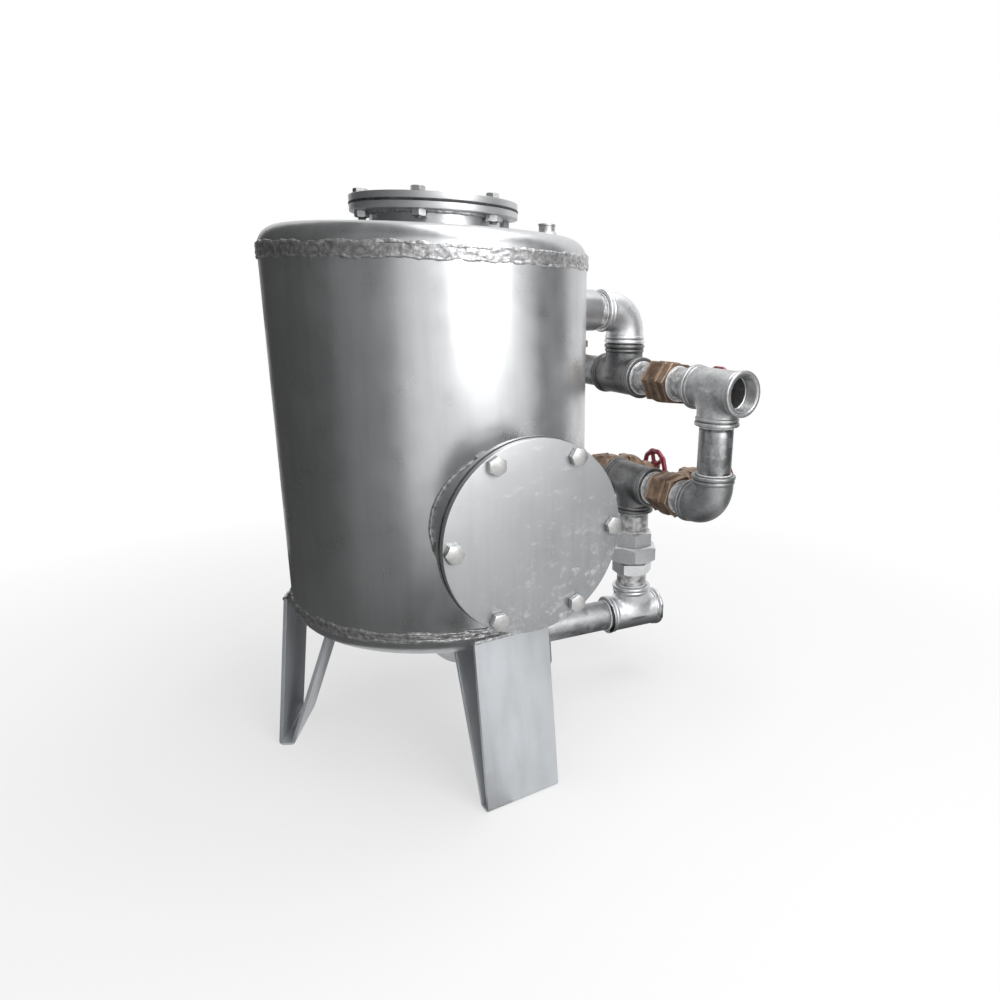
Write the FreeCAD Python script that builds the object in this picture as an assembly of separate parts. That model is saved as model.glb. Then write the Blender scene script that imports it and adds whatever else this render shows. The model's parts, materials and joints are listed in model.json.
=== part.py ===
import FreeCAD, Part
import math
import os

# Sand filter: a welded pressure tank on three folded legs, with two bolted manways, and on its right
# side a face piping of 2 inch threaded fittings with four gate valves.
# Millimetres. The origin is on the floor under the tank axis, +Z up, side manway towards -Y,
# pipework towards +X.

# Tank
tank_radius = 250.0
shell_thickness = 6.0
bottom_seam_height = 288.0
seam_spacing = 545.0
head_straight = 4.0
head_knuckle = 33.0
head_rise = 5.0
head_thickness = 6.0
bead_proud = 3.0
top_bead_width = 22.0
bottom_bead_width = 17.0
fit_gap = 0.3

# Legs, each one strip folded at the floor
leg_width = 128.0
leg_thickness = 6.0
leg_azimuths = {"leg_front": -90.0, "leg_rear_left": 150.0, "leg_rear_right": 30.0}
leg_foot_outside_tank = 40.0
leg_foot_flat = 26.0
leg_inner_top_inset = 87.0
leg_outer_bend = 8.0
leg_inner_bend = 2.0

# Manways
neck_wall = 6.0
flange_thickness = 10.0
gasket_thickness = 3.0
cover_thickness = 10.0
bolt_count = 6
bolt_hole_gap = 1.0
nut_bore_gap = 0.2
m12_bolt = {"radius": 6.0, "across_flats": 19.0, "head": 7.5, "nut": 10.0, "past_nut": 3.0}
m16_bolt = {"radius": 8.0, "across_flats": 24.0, "head": 10.0, "nut": 13.0, "past_nut": 4.0}
neck_recess = 2.0

top_manway_x = 9.0
top_manway_y = -6.0
top_neck_radius = 100.0
top_flange_radius = 128.0
top_bolt_circle = 113.0
top_first_bolt = -125.0
top_flange_above_seam = 63.0
top_neck_inside = 18.0

side_neck_radius = 109.5
side_flange_radius = 141.0
side_bolt_circle = 127.5
side_first_bolt = 0.0
side_manway_above_seam = 168.0
side_flange_past_tank = 61.0

# Vent socket on the top head
vent_azimuth = -41.0
vent_inset = 62.0
vent_radius = 12.5
vent_bore_radius = 9.3
vent_height = 18.0
vent_inside = 14.0
vent_weld_radius = 26.0
vent_weld_height = 7.0

# Pipe and threaded fittings
pipe_radius = 30.15
pipe_wall = 3.9
fitting_reach = 60.0
fitting_radius = 36.0
fitting_rim_radius = 39.0
fitting_rim_width = 10.0
fitting_bore_radius = 27.0
socket_depth = 22.0
thread_grip = 20.0
elbow_bend_radius = 40.0

# Pipework layout
upper_nozzle_below_top_seam = 75.0
nozzle_to_elbow_gap = 16.0
close_gap = 2.0
run_length = 271.5
lower_run_height = 430.0
lower_tee_offset = 46.5
bottom_run_height = 152.0
waste_valve_y = 195.0
inlet_stem_tilt = -6.0
backwash_stem_tilt = 12.0

# Welded nozzles
nozzle_socket_radius = 37.0
nozzle_outside = 66.0
nozzle_inside = 24.0
bottom_nozzle_inside = 16.0

# Union
union_length = 90.0
union_tail_across_flats = 70.0
union_tail_hex = 28.0
union_nut_across_flats = 88.0
union_nut_height = 34.0
union_shank_radius = 34.0
union_collar_radius = 40.0
union_collar_height = 9.0
union_lower_hex = 24.0

# Gate valves, the stem along the valve's own Z and the run along its X
valve_length = 60.0
valve_across_flats = 67.0
valve_end_width = 21.0
valve_belly_radius = 41.0
valve_belly_across_flats = 74.0
valve_rib_across_flats = 70.5
valve_rib_width = 3.0
valve_socket_depth = 16.0
valve_grip = 15.0
valve_bore_radius = 25.0
valve_neck_radius = 33.0
valve_neck_inset = 2.0
valve_neck_top = 42.0
wedge_radius = 26.2
wedge_thickness = 20.0
wedge_boss_radius = 9.0
wedge_boss_top = 36.0
wedge_gap = 0.5
wedge_travel = 50.0
bonnet_across_flats = 66.0
bonnet_hex_height = 14.0
bonnet_wall = 4.0
bonnet_dome_radius = 29.0
bonnet_neck_radius = 15.0
stem_radius = 6.0
stem_clearance = 0.05
thread_clearance = 0.4
stem_foot = 25.0
stem_collar_radius = 10.0
stem_collar_height = 4.6
stem_collar_gap = 0.2
bonnet_web = 4.0
gland_across_flats = 27.0
gland_height = 13.0
wheel_height = 120.0
wheel_radius = 40.0
wheel_rim_width = 9.0
wheel_rim_depth = 9.0
wheel_hub_radius = 10.0
wheel_hub_height = 12.0
wheel_spokes = 5
wheel_spoke_width = 8.0
wheel_spoke_depth = 5.0
wheel_nut_across_flats = 13.0
wheel_nut_height = 5.0

# Inside the tank
plate_above_seam = 30.0
plate_thickness = 10.0
strainer_ring_counts = (1, 6, 8)
strainer_ring_spacing = 93.0
strainer_cap_radius = 22.0
strainer_cap_height = 26.0
strainer_stem_radius = 9.0
strainer_stem_below = 14.0
gravel_depth = 60.0
sand_depth = 230.0
diffuser_length = 200.0
diffuser_slots = 4
diffuser_slot_width = 12.0
diffuser_slot_pitch = 34.0
diffuser_cap = 4.0

# Heights over the floor from the bottom seam, and distances from the tank's axis
top_seam_height = bottom_seam_height + seam_spacing
top_flange_height = top_seam_height + top_flange_above_seam
side_manway_height = bottom_seam_height + side_manway_above_seam
upper_nozzle_height = top_seam_height - upper_nozzle_below_top_seam
plate_height = bottom_seam_height + plate_above_seam
leg_foot_radius = tank_radius + leg_foot_outside_tank
leg_inner_top_radius = tank_radius - leg_inner_top_inset
side_flange_reach = tank_radius + side_flange_past_tank
vent_distance = tank_radius - vent_inset
pipe_plane = tank_radius + nozzle_outside + nozzle_to_elbow_gap + fitting_reach

X = FreeCAD.Vector(1, 0, 0)
Y = FreeCAD.Vector(0, 1, 0)
Z = FreeCAD.Vector(0, 0, 1)
ORIGIN = FreeCAD.Vector(0, 0, 0)


def point(x, y, z):
    return FreeCAD.Vector(x, y, z)


def heading(azimuth):
    angle = math.radians(azimuth)
    return point(math.cos(angle), math.sin(angle), 0)


def export(name, shape):
    shape.exportStep("parts/" + name + ".step")


def group(shapes):
    return Part.makeCompound(shapes)


def rod(radius, start, direction, length):
    return Part.makeCylinder(radius, length, start, direction)


def tube(outer, inner, start, direction, length):
    return rod(outer, start, direction, length).cut(rod(inner, start, direction, length))


def frame_at(place, run, stem):
    side = stem.cross(run)
    return FreeCAD.Placement(place, FreeCAD.Rotation(run, side, stem, "ZXY"))


def placed(shape, placement):
    result = shape.copy()
    result.Placement = placement.multiply(result.Placement)
    return result


def turned(profile):
    """A solid of revolution about Z from (radius, height) corners."""
    corners = [point(radius, 0, height) for radius, height in profile]
    outline = Part.makePolygon(corners + [corners[0]])
    return Part.Face(outline).revolve(ORIGIN, Z, 360)


def hexagon(across_flats, height, base=0.0):
    corner = across_flats / math.sqrt(3)
    corners = [heading(60 * index) * corner for index in range(6)]
    outline = Part.makePolygon(corners + [corners[0]])
    prism = Part.Face(outline).extrude(Z * height)
    prism.translate(Z * base)
    return prism


# The crown of a head, as a height over its seam, at a distance from the axis
def crown_height(distance):
    edge = tank_radius - head_knuckle
    return head_straight + head_knuckle + head_rise * (1 - (distance / edge) ** 2)


def head_profile(offset):
    """The outline of a head seen from the side, inside the true outer face by offset."""
    edge = tank_radius - head_knuckle
    knuckle = head_knuckle - offset
    lower = point(tank_radius - offset, 0, head_straight)
    bend = point(edge + knuckle * math.sin(math.radians(45)), 0,
                 head_straight + knuckle * math.sin(math.radians(45)))
    upper = point(edge, 0, head_straight + knuckle)
    middle = point(edge / 2, 0, crown_height(edge / 2) - offset)
    top = point(0, 0, crown_height(0) - offset)
    seam = point(tank_radius - offset, 0, 0)
    return [Part.LineSegment(seam, lower).toShape(), Part.Arc(lower, bend, upper).toShape(),
            Part.Arc(upper, middle, top).toShape()], seam, top


def head_blank(offset):
    """A head filled down to its seam."""
    edges, seam, top = head_profile(offset)
    closing = [Part.LineSegment(top, ORIGIN).toShape(), Part.LineSegment(ORIGIN, seam).toShape()]
    return Part.Face(Part.Wire(edges + closing)).revolve(ORIGIN, Z, 360)


def top_placement():
    return FreeCAD.Placement(Z * top_seam_height, FreeCAD.Rotation())


def bottom_placement():
    return FreeCAD.Placement(Z * bottom_seam_height, FreeCAD.Rotation(X, 180))


def dished_head():
    return head_blank(0).cut(head_blank(head_thickness))


def top_manway_place(height):
    return point(top_manway_x, top_manway_y, height)


def vent_place():
    base = top_seam_height + crown_height(vent_distance)
    return heading(vent_azimuth) * vent_distance + Z * base


def make_vessel():
    shell = tube(tank_radius, tank_radius - shell_thickness, Z * (bottom_seam_height + fit_gap / 2),
                 Z, seam_spacing - fit_gap)
    past_shell = tank_radius + shell_thickness
    shell = shell.cut(rod(side_neck_radius + fit_gap, Z * side_manway_height, -Y, past_shell))
    shell = shell.cut(rod(nozzle_socket_radius + fit_gap, Z * upper_nozzle_height, X, past_shell))
    export("tank_shell", shell)

    top = placed(dished_head(), top_placement())
    top = top.cut(rod(top_neck_radius + fit_gap, top_manway_place(bottom_seam_height), Z, top_flange_height))
    top = top.cut(rod(vent_radius + fit_gap, vent_place() - Z * vent_inside, Z, vent_inside + vent_height))
    export("top_head", top)

    bottom = placed(dished_head(), bottom_placement())
    bottom = bottom.cut(rod(pipe_radius + fit_gap, ORIGIN, Z, bottom_seam_height))
    export("bottom_head", bottom)

    export("girth_welds", group([girth_bead(bottom_seam_height, bottom_bead_width),
                                 girth_bead(top_seam_height, top_bead_width)]))


def girth_bead(height, width):
    inner = tank_radius + fit_gap
    bead = turned([(inner, -width / 2), (inner + bead_proud, -width / 4), (inner + bead_proud, width / 4),
                   (inner, width / 2)])
    bead.translate(Z * height)
    return bead


# One strip, folded twice at the floor: outer arm, foot, inner arm
def leg_strip():
    head_top = bottom_seam_height - bottom_bead_width / 2 - fit_gap
    outer_top = (tank_radius + fit_gap + leg_thickness, head_top)
    foot_out = (leg_foot_radius, 0.0)
    foot_in = (leg_foot_radius - leg_foot_flat, 0.0)
    inner_top = (leg_inner_top_radius, bottom_seam_height - head_straight)
    outside = [outer_top, foot_out, foot_in, inner_top]
    inside = offset_line(outside, leg_thickness)[::-1]
    outside = [point(radius, 0, height) for radius, height in outside]
    inside = [point(radius, 0, height) for radius, height in inside]
    edges = rounded_line(outside, leg_outer_bend)
    edges.append(Part.LineSegment(outside[-1], inside[0]).toShape())
    edges += rounded_line(inside, leg_inner_bend)
    edges.append(Part.LineSegment(inside[-1], outside[0]).toShape())
    strip = Part.Face(Part.Wire(edges)).extrude(Y * leg_width)
    strip.translate(Y * (-leg_width / 2))
    return strip


def rounded_line(corners, radius):
    """Edges through the corners, each inner corner rounded."""
    edges = []
    last = corners[0]
    for before, corner, after in zip(corners, corners[1:], corners[2:]):
        back = (before - corner).normalize()
        ahead = (after - corner).normalize()
        half = back.getAngle(ahead) / 2
        reach = radius / math.tan(half)
        middle = corner + (back + ahead).normalize() * (radius / math.sin(half) - radius)
        edges.append(Part.LineSegment(last, corner + back * reach).toShape())
        edges.append(Part.Arc(corner + back * reach, middle, corner + ahead * reach).toShape())
        last = corner + ahead * reach
    edges.append(Part.LineSegment(last, corners[-1]).toShape())
    return edges


def offset_line(corners, distance):
    """Corners of a line that runs beside the given one, on its right."""
    lines = []
    for start, end in zip(corners, corners[1:]):
        run = (end[0] - start[0], end[1] - start[1])
        size = math.hypot(run[0], run[1])
        side = (run[1] / size * distance, -run[0] / size * distance)
        lines.append(((start[0] + side[0], start[1] + side[1]), run))
    result = [lines[0][0]]
    for (start_a, run_a), (start_b, run_b) in zip(lines, lines[1:]):
        cross = run_a[0] * run_b[1] - run_a[1] * run_b[0]
        along = ((start_b[0] - start_a[0]) * run_b[1] - (start_b[1] - start_a[1]) * run_b[0]) / cross
        result.append((start_a[0] + along * run_a[0], start_a[1] + along * run_a[1]))
    last, run = lines[-1]
    result.append((last[0] + run[0], last[1] + run[1]))
    return result


def make_legs():
    clear_of_head = placed(head_blank(-fit_gap), bottom_placement())
    strip = leg_strip().cut(clear_of_head)
    for name, azimuth in leg_azimuths.items():
        leg = strip.copy()
        leg.rotate(ORIGIN, Z, azimuth)
        export(name, leg)


def bolt_places(circle, first):
    return [heading(first + index * 360 / bolt_count) * circle for index in range(bolt_count)]


def drilled(shape, circle, first, size, base, depth):
    for place in bolt_places(circle, first):
        shape = shape.cut(rod(size["radius"] + bolt_hole_gap, place + Z * base, Z, depth))
    return shape


def bolt_set(circle, first, size):
    """Bolts with heads over the cover and nuts under the flange, height 0 at the flange's lower face."""
    grip = flange_thickness + gasket_thickness + cover_thickness
    below = size["nut"] + size["past_nut"]
    bolts = []
    nuts = []
    for place in bolt_places(circle, first):
        shank = rod(size["radius"], place - Z * below, Z, grip + below)
        head = hexagon(size["across_flats"], size["head"], grip)
        head.translate(place)
        bolts.append(shank.fuse(head).removeSplitter())
        nut = hexagon(size["across_flats"], size["nut"], -size["nut"])
        nut = nut.cut(rod(size["radius"] + nut_bore_gap, Z * (-size["nut"]), Z, size["nut"]))
        nut.translate(place)
        nuts.append(nut)
    return bolts, nuts


def manway(neck_radius, flange_radius, circle, first, size, neck_length):
    """Neck, flange, gasket and cover, height 0 at the flange's lower face, neck going down."""
    bore = neck_radius - neck_wall
    neck = tube(neck_radius, bore, Z * (-neck_length), Z, neck_length + flange_thickness - neck_recess)
    flange = tube(flange_radius, neck_radius + fit_gap, ORIGIN, Z, flange_thickness)
    flange = drilled(flange, circle, first, size, 0, flange_thickness)
    gasket = tube(flange_radius, bore, Z * flange_thickness, Z, gasket_thickness)
    gasket = drilled(gasket, circle, first, size, flange_thickness, gasket_thickness)
    cover = rod(flange_radius, Z * (flange_thickness + gasket_thickness), Z, cover_thickness)
    cover = drilled(cover, circle, first, size, flange_thickness + gasket_thickness, cover_thickness)
    return neck, flange, gasket, cover


def make_manways():
    at_top = FreeCAD.Placement(top_manway_place(top_flange_height), FreeCAD.Rotation())
    at_side = frame_at(point(0, -side_flange_reach, side_manway_height), X, -Y)

    crown_at_neck = top_seam_height + crown_height(0)
    top_neck_length = top_flange_height - crown_at_neck + top_neck_inside
    side_neck_length = side_flange_reach - tank_radius + math.hypot(side_neck_radius, shell_thickness) / 2

    top = manway(top_neck_radius, top_flange_radius, top_bolt_circle, top_first_bolt, m12_bolt,
                 top_neck_length)
    side = manway(side_neck_radius, side_flange_radius, side_bolt_circle, side_first_bolt, m16_bolt,
                  side_neck_length)
    side_neck = placed(side[0], at_side).cut(rod(tank_radius - shell_thickness, ORIGIN, Z, top_seam_height))

    export("top_manway_neck", placed(top[0], at_top))
    export("top_manway_flange", placed(top[1], at_top))
    export("top_manway_cover", placed(top[3], at_top))
    export("side_manway_neck", side_neck)
    export("side_manway_flange", placed(side[1], at_side))
    export("side_manway_cover", placed(side[3], at_side))
    export("manway_gaskets", group([placed(top[2], at_top), placed(side[2], at_side)]))

    top_bolts, top_nuts = bolt_set(top_bolt_circle, top_first_bolt, m12_bolt)
    side_bolts, side_nuts = bolt_set(side_bolt_circle, side_first_bolt, m16_bolt)
    export("manway_bolts", group([placed(bolt, at_top) for bolt in top_bolts]
                                 + [placed(bolt, at_side) for bolt in side_bolts]))
    export("manway_nuts", group([placed(nut, at_top) for nut in top_nuts]
                                + [placed(nut, at_side) for nut in side_nuts]))


def make_vent():
    place = vent_place()
    socket = rod(vent_radius, place - Z * vent_inside, Z, vent_inside + vent_height)
    weld = Part.makeCone(vent_weld_radius, vent_radius, vent_weld_height + head_rise,
                         place - Z * head_rise, Z)
    weld = weld.cut(placed(head_blank(-fit_gap), top_placement()))
    socket = socket.fuse(weld).removeSplitter()
    export("vent_socket", socket.cut(rod(vent_bore_radius, place - Z * vent_inside, Z,
                                         vent_inside + vent_height)))


# A fitting's threaded end, from its centre out along a direction
def fitting_arm(centre, direction):
    arm = rod(fitting_radius, centre, direction, fitting_reach)
    rim = rod(fitting_rim_radius, centre + direction * (fitting_reach - fitting_rim_width), direction,
              fitting_rim_width)
    return arm.fuse(rim)


def fitting_bore(centre, direction):
    bore = rod(fitting_bore_radius, centre, direction, fitting_reach)
    socket = rod(pipe_radius + fit_gap, centre + direction * (fitting_reach - socket_depth), direction,
                 socket_depth)
    return bore.fuse(socket)


def tee(centre, run, branch):
    ends = [run, -run, branch]
    body = fitting_arm(centre, ends[0])
    hollow = fitting_bore(centre, ends[0])
    for direction in ends[1:]:
        body = body.fuse(fitting_arm(centre, direction))
        hollow = hollow.fuse(fitting_bore(centre, direction))
    return body.removeSplitter().cut(hollow)


def bend(centre, first, second, radius):
    """A quarter ring of round section between two straight arms of an elbow."""
    pivot = centre + (first + second) * elbow_bend_radius
    start = centre + first * elbow_bend_radius
    ring = Part.Face(Part.Wire(Part.makeCircle(radius, start, first)))
    axis = second.cross(first)
    return ring.revolve(pivot, axis, 90)


def elbow(centre, first, second):
    straight = fitting_reach - elbow_bend_radius
    body = bend(centre, first, second, fitting_radius)
    hollow = bend(centre, first, second, fitting_bore_radius)
    for direction in (first, second):
        start = centre + direction * elbow_bend_radius
        rim = centre + direction * (fitting_reach - fitting_rim_width)
        socket = centre + direction * (fitting_reach - socket_depth)
        body = body.fuse(rod(fitting_radius, start, direction, straight))
        body = body.fuse(rod(fitting_rim_radius, rim, direction, fitting_rim_width))
        hollow = hollow.fuse(rod(fitting_bore_radius, start, direction, straight))
        hollow = hollow.fuse(rod(pipe_radius + fit_gap, socket, direction, socket_depth))
    return body.cut(hollow)


def nipple(start, end, grip_at_start, grip_at_end):
    """A length of pipe between two fitting faces, screwed into both."""
    along = end - start
    gap = along.Length
    direction = along * (1 / gap)
    return tube(pipe_radius, pipe_radius - pipe_wall, start - direction * grip_at_start, direction,
                gap + grip_at_start + grip_at_end)


# Places of the fittings' centres
upper_elbow_at = point(pipe_plane, 0, upper_nozzle_height)
upper_tee_at = upper_elbow_at - Z * (2 * fitting_reach + close_gap)
inlet_tee_at = upper_tee_at - Y * run_length
lower_elbow_at = point(inlet_tee_at.x, inlet_tee_at.y, lower_run_height)
lower_tee_at = point(pipe_plane, -lower_tee_offset, lower_run_height)
bottom_tee_at = point(pipe_plane, -lower_tee_offset, bottom_run_height)
bottom_elbow_at = point(0, 0, bottom_run_height)
bottom_run = (bottom_tee_at - bottom_elbow_at).normalize()

inlet_valve_at = (upper_tee_at + inlet_tee_at) * 0.5
backwash_valve_at = (lower_tee_at + lower_elbow_at) * 0.5
service_valve_at = lower_tee_at + Y * (fitting_reach + close_gap + valve_length / 2)
waste_valve_at = point(pipe_plane, waste_valve_y, upper_tee_at.z)


def face_of(centre, direction):
    return centre + direction * fitting_reach


def valve_face(centre, direction):
    return centre + direction * (valve_length / 2)


def make_fittings():
    export("upper_elbow", elbow(upper_elbow_at, -X, -Z))
    export("upper_tee", tee(upper_tee_at, Y, Z))
    export("inlet_tee", tee(inlet_tee_at, Y, -Z))
    export("lower_elbow", elbow(lower_elbow_at, Z, Y))
    export("lower_tee", tee(lower_tee_at, Y, -Z))
    export("bottom_tee", tee(bottom_tee_at, bottom_run, Z))
    export("bottom_elbow", elbow(bottom_elbow_at, bottom_run, Z))


def make_pipes():
    socket_end = tank_radius + nozzle_outside
    nozzle = rod(nozzle_socket_radius, point(tank_radius - nozzle_inside, 0, upper_nozzle_height), X,
                 nozzle_inside + nozzle_outside)
    nozzle = nozzle.cut(rod(pipe_radius + fit_gap, point(tank_radius - nozzle_inside, 0, upper_nozzle_height),
                            X, nozzle_inside + nozzle_outside))
    export("upper_nozzle", nozzle)

    nozzle_top = bottom_seam_height - crown_height(0) + bottom_nozzle_inside
    export("bottom_nozzle", nipple(face_of(bottom_elbow_at, Z), Z * nozzle_top, thread_grip, 0))
    export("down_pipe", nipple(face_of(inlet_tee_at, -Z), face_of(lower_elbow_at, Z), thread_grip,
                               thread_grip))
    export("bottom_pipe", nipple(face_of(bottom_elbow_at, bottom_run), face_of(bottom_tee_at, -bottom_run),
                                 thread_grip, thread_grip))
    export("waste_pipe", nipple(face_of(upper_tee_at, Y), valve_face(waste_valve_at, -Y), thread_grip,
                                valve_grip))

    union_top, union_end = union_ends()
    joints = [
        (point(socket_end, 0, upper_nozzle_height), face_of(upper_elbow_at, -X), thread_grip, thread_grip),
        (face_of(upper_elbow_at, -Z), face_of(upper_tee_at, Z), thread_grip, thread_grip),
        (face_of(upper_tee_at, -Y), valve_face(inlet_valve_at, Y), thread_grip, valve_grip),
        (valve_face(inlet_valve_at, -Y), face_of(inlet_tee_at, Y), valve_grip, thread_grip),
        (face_of(lower_tee_at, -Y), valve_face(backwash_valve_at, Y), thread_grip, valve_grip),
        (valve_face(backwash_valve_at, -Y), face_of(lower_elbow_at, Y), valve_grip, thread_grip),
        (face_of(lower_tee_at, -Z), union_top, thread_grip, valve_grip),
        (union_end, face_of(bottom_tee_at, Z), valve_grip, thread_grip),
        (face_of(lower_tee_at, Y), valve_face(service_valve_at, -Y), thread_grip, valve_grip)]
    export("pipe_nipples", group([nipple(*joint) for joint in joints]))


# The union hangs midway between the lower tee and the bottom tee, a little low
union_share = 0.6


def union_ends():
    upper = face_of(lower_tee_at, -Z)
    free = (upper - face_of(bottom_tee_at, Z)).Length - union_length
    top = upper - Z * free * union_share
    return top, top - Z * union_length


def make_union():
    top, end = union_ends()
    seat = union_length - union_lower_hex - fit_gap
    nut_top = union_tail_hex + fit_gap
    place = FreeCAD.Placement(top, FreeCAD.Rotation())

    upper = hexagon(union_tail_across_flats, union_tail_hex, -union_tail_hex)
    upper = upper.fuse(rod(union_shank_radius, ORIGIN - Z * union_tail_hex, -Z, seat - union_tail_hex))
    upper = upper.fuse(rod(union_collar_radius, Z * (-seat + union_collar_height), -Z, union_collar_height))
    upper = upper.cut(rod(fitting_bore_radius, ORIGIN, -Z, seat))
    upper = upper.cut(rod(pipe_radius + fit_gap, ORIGIN, -Z, valve_socket_depth))

    nut = hexagon(union_nut_across_flats, union_nut_height, -nut_top - union_nut_height)
    nut = nut.cut(rod(union_shank_radius + fit_gap, ORIGIN, -Z, union_length))
    nut = nut.cut(rod(union_collar_radius + fit_gap, Z * (-seat + union_collar_height + fit_gap), -Z,
                      union_length))

    lower = hexagon(union_tail_across_flats, union_lower_hex, -union_length)
    lower = lower.cut(rod(fitting_bore_radius, Z * (-union_length), Z, union_lower_hex))
    lower = lower.cut(rod(pipe_radius + fit_gap, Z * (-union_length), Z, valve_socket_depth))

    export("union_upper_tail", placed(upper, place))
    export("union_nut", placed(nut, place))
    export("union_lower_tail", placed(lower, place))


def valve_body():
    half = valve_length / 2
    across = FreeCAD.Placement(ORIGIN, FreeCAD.Rotation(Y, 90))
    body = placed(hexagon(valve_across_flats, valve_length, -half), across)
    belly_end = half - valve_end_width
    belly = placed(hexagon(valve_belly_across_flats, 2 * belly_end, -belly_end), across)
    body = body.fuse(belly.common(Part.makeSphere(valve_belly_radius)))
    for base in (-half, -belly_end - valve_rib_width, belly_end, half - valve_rib_width):
        body = body.fuse(placed(hexagon(valve_rib_across_flats, valve_rib_width, base), across))
    body = body.fuse(flat_sided_neck()).removeSplitter()

    body = body.cut(rod(valve_bore_radius, point(-half, 0, 0), X, valve_length))
    for side in (-1, 1):
        body = body.cut(rod(pipe_radius + fit_gap, X * (side * half), X * (-side), valve_socket_depth))
    return body.cut(wedge_blank(wedge_gap, valve_neck_top))


def flat_sided_neck():
    """The round neck under the bonnet, cut flat just inside the valve's end faces."""
    neck = rod(valve_neck_radius, ORIGIN, Z, valve_neck_top)
    length = valve_length - 2 * valve_neck_inset
    sides = Part.makeBox(length, 2 * valve_neck_radius, valve_neck_top)
    sides.translate(point(-length / 2, -valve_neck_radius, 0))
    return neck.common(sides)


def wedge_blank(gap, top):
    """The wedge's outline, grown by a gap and drawn out upwards to a height."""
    depth = wedge_thickness + 2 * gap
    disc = rod(wedge_radius + gap, X * (-depth / 2), X, depth)
    if top <= wedge_radius:
        return disc
    slot = Part.makeBox(depth, 2 * (wedge_radius + gap), top)
    slot.translate(point(-depth / 2, -wedge_radius - gap, 0))
    return disc.fuse(slot).removeSplitter()


def wedge():
    disc = wedge_blank(0, 0)
    boss = rod(wedge_boss_radius, ORIGIN, Z, wedge_boss_top)
    hole = rod(stem_radius + thread_clearance, Z * (-wedge_radius), Z, wedge_radius + wedge_boss_top)
    return disc.fuse(boss).removeSplitter().cut(hole)


# Heights in the valve, all from the wedge's travel
dome_centre = valve_neck_top + bonnet_hex_height
cavity_top = wedge_boss_top + wedge_travel + wedge_gap
collar_base = cavity_top + bonnet_web
collar_top = collar_base + stem_collar_height
bonnet_top = collar_top + stem_collar_gap


def bonnet():
    base = hexagon(bonnet_across_flats, bonnet_hex_height, valve_neck_top)
    outer_dome = Part.makeSphere(bonnet_dome_radius + bonnet_wall, Z * dome_centre, Z, 0, 90, 360)
    neck = rod(bonnet_neck_radius, Z * dome_centre, Z, bonnet_top - dome_centre)
    body = base.fuse(outer_dome).fuse(neck).removeSplitter()
    cavity = rod(bonnet_dome_radius, Z * valve_neck_top, Z, bonnet_hex_height)
    cavity = cavity.fuse(Part.makeSphere(bonnet_dome_radius, Z * dome_centre, Z, 0, 90, 360))
    cavity = cavity.fuse(rod(wedge_boss_radius + wedge_gap, Z * valve_neck_top, Z,
                             cavity_top - valve_neck_top))
    body = body.cut(cavity)
    body = body.cut(rod(stem_radius + stem_clearance, Z * valve_neck_top, Z, bonnet_top))
    return body.cut(rod(stem_collar_radius + fit_gap, Z * (collar_base - stem_collar_gap), Z, bonnet_top))


def gland_nut():
    nut = hexagon(gland_across_flats, gland_height, bonnet_top)
    return nut.cut(rod(stem_radius + stem_clearance, Z * bonnet_top, Z, gland_height))


def stem():
    top = wheel_height + wheel_hub_height
    shaft = rod(stem_radius, Z * stem_foot, Z, top - stem_foot)
    shaft = shaft.fuse(rod(stem_collar_radius, Z * collar_base, Z, stem_collar_height)).removeSplitter()
    nut = hexagon(wheel_nut_across_flats, wheel_nut_height, top)
    return group([shaft, nut])


def handwheel():
    half = wheel_rim_depth / 2
    inner = wheel_radius - wheel_rim_width
    edge = wheel_rim_width / 4
    rim = turned([(inner + edge, -half), (wheel_radius - edge, -half), (wheel_radius, -half + edge),
                  (wheel_radius, half - edge), (wheel_radius - edge, half), (inner + edge, half),
                  (inner, half - edge), (inner, -half + edge)])
    rim.translate(Z * (wheel_hub_height / 2))
    wheel = rim.fuse(rod(wheel_hub_radius, ORIGIN, Z, wheel_hub_height))
    for index in range(wheel_spokes):
        spoke = Part.makeBox(inner + edge, wheel_spoke_width, wheel_spoke_depth)
        spoke.translate(point(0, -wheel_spoke_width / 2, (wheel_hub_height - wheel_spoke_depth) / 2))
        spoke.rotate(ORIGIN, Z, index * 360 / wheel_spokes)
        wheel = wheel.fuse(spoke)
    wheel = wheel.removeSplitter().cut(rod(stem_radius + stem_clearance, ORIGIN, Z, wheel_hub_height))
    wheel.translate(Z * wheel_height)
    return wheel


def tilted(angle):
    """The +X way turned up towards +Z."""
    return X * math.cos(math.radians(angle)) + Z * math.sin(math.radians(angle))


def make_valves():
    valves = {
        "inlet_valve": frame_at(inlet_valve_at, Y, tilted(inlet_stem_tilt)),
        "backwash_valve": frame_at(backwash_valve_at, Y, tilted(backwash_stem_tilt)),
        "service_valve": frame_at(service_valve_at, Y, X),
        "waste_valve": frame_at(waste_valve_at, Y, Z)}
    pieces = {"body": valve_body(), "bonnet": bonnet(), "stem": stem(), "handwheel": handwheel(),
              "wedge": wedge()}
    for valve, place in valves.items():
        for piece, shape in pieces.items():
            export(valve + "_" + piece, placed(shape, place))
    export("gland_nuts", group([placed(gland_nut(), place) for place in valves.values()]))


def strainer_places():
    places = []
    for ring, count in enumerate(strainer_ring_counts):
        radius = ring * strainer_ring_spacing
        places += [heading(index * 360 / count) * radius for index in range(count)]
    return places


def strainer():
    foot = -strainer_stem_below - plate_thickness
    return turned([(0, foot), (strainer_stem_radius, foot), (strainer_stem_radius, 0),
                   (strainer_cap_radius, 0), (strainer_cap_radius, strainer_cap_height * 0.7),
                   (0, strainer_cap_height)])


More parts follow.
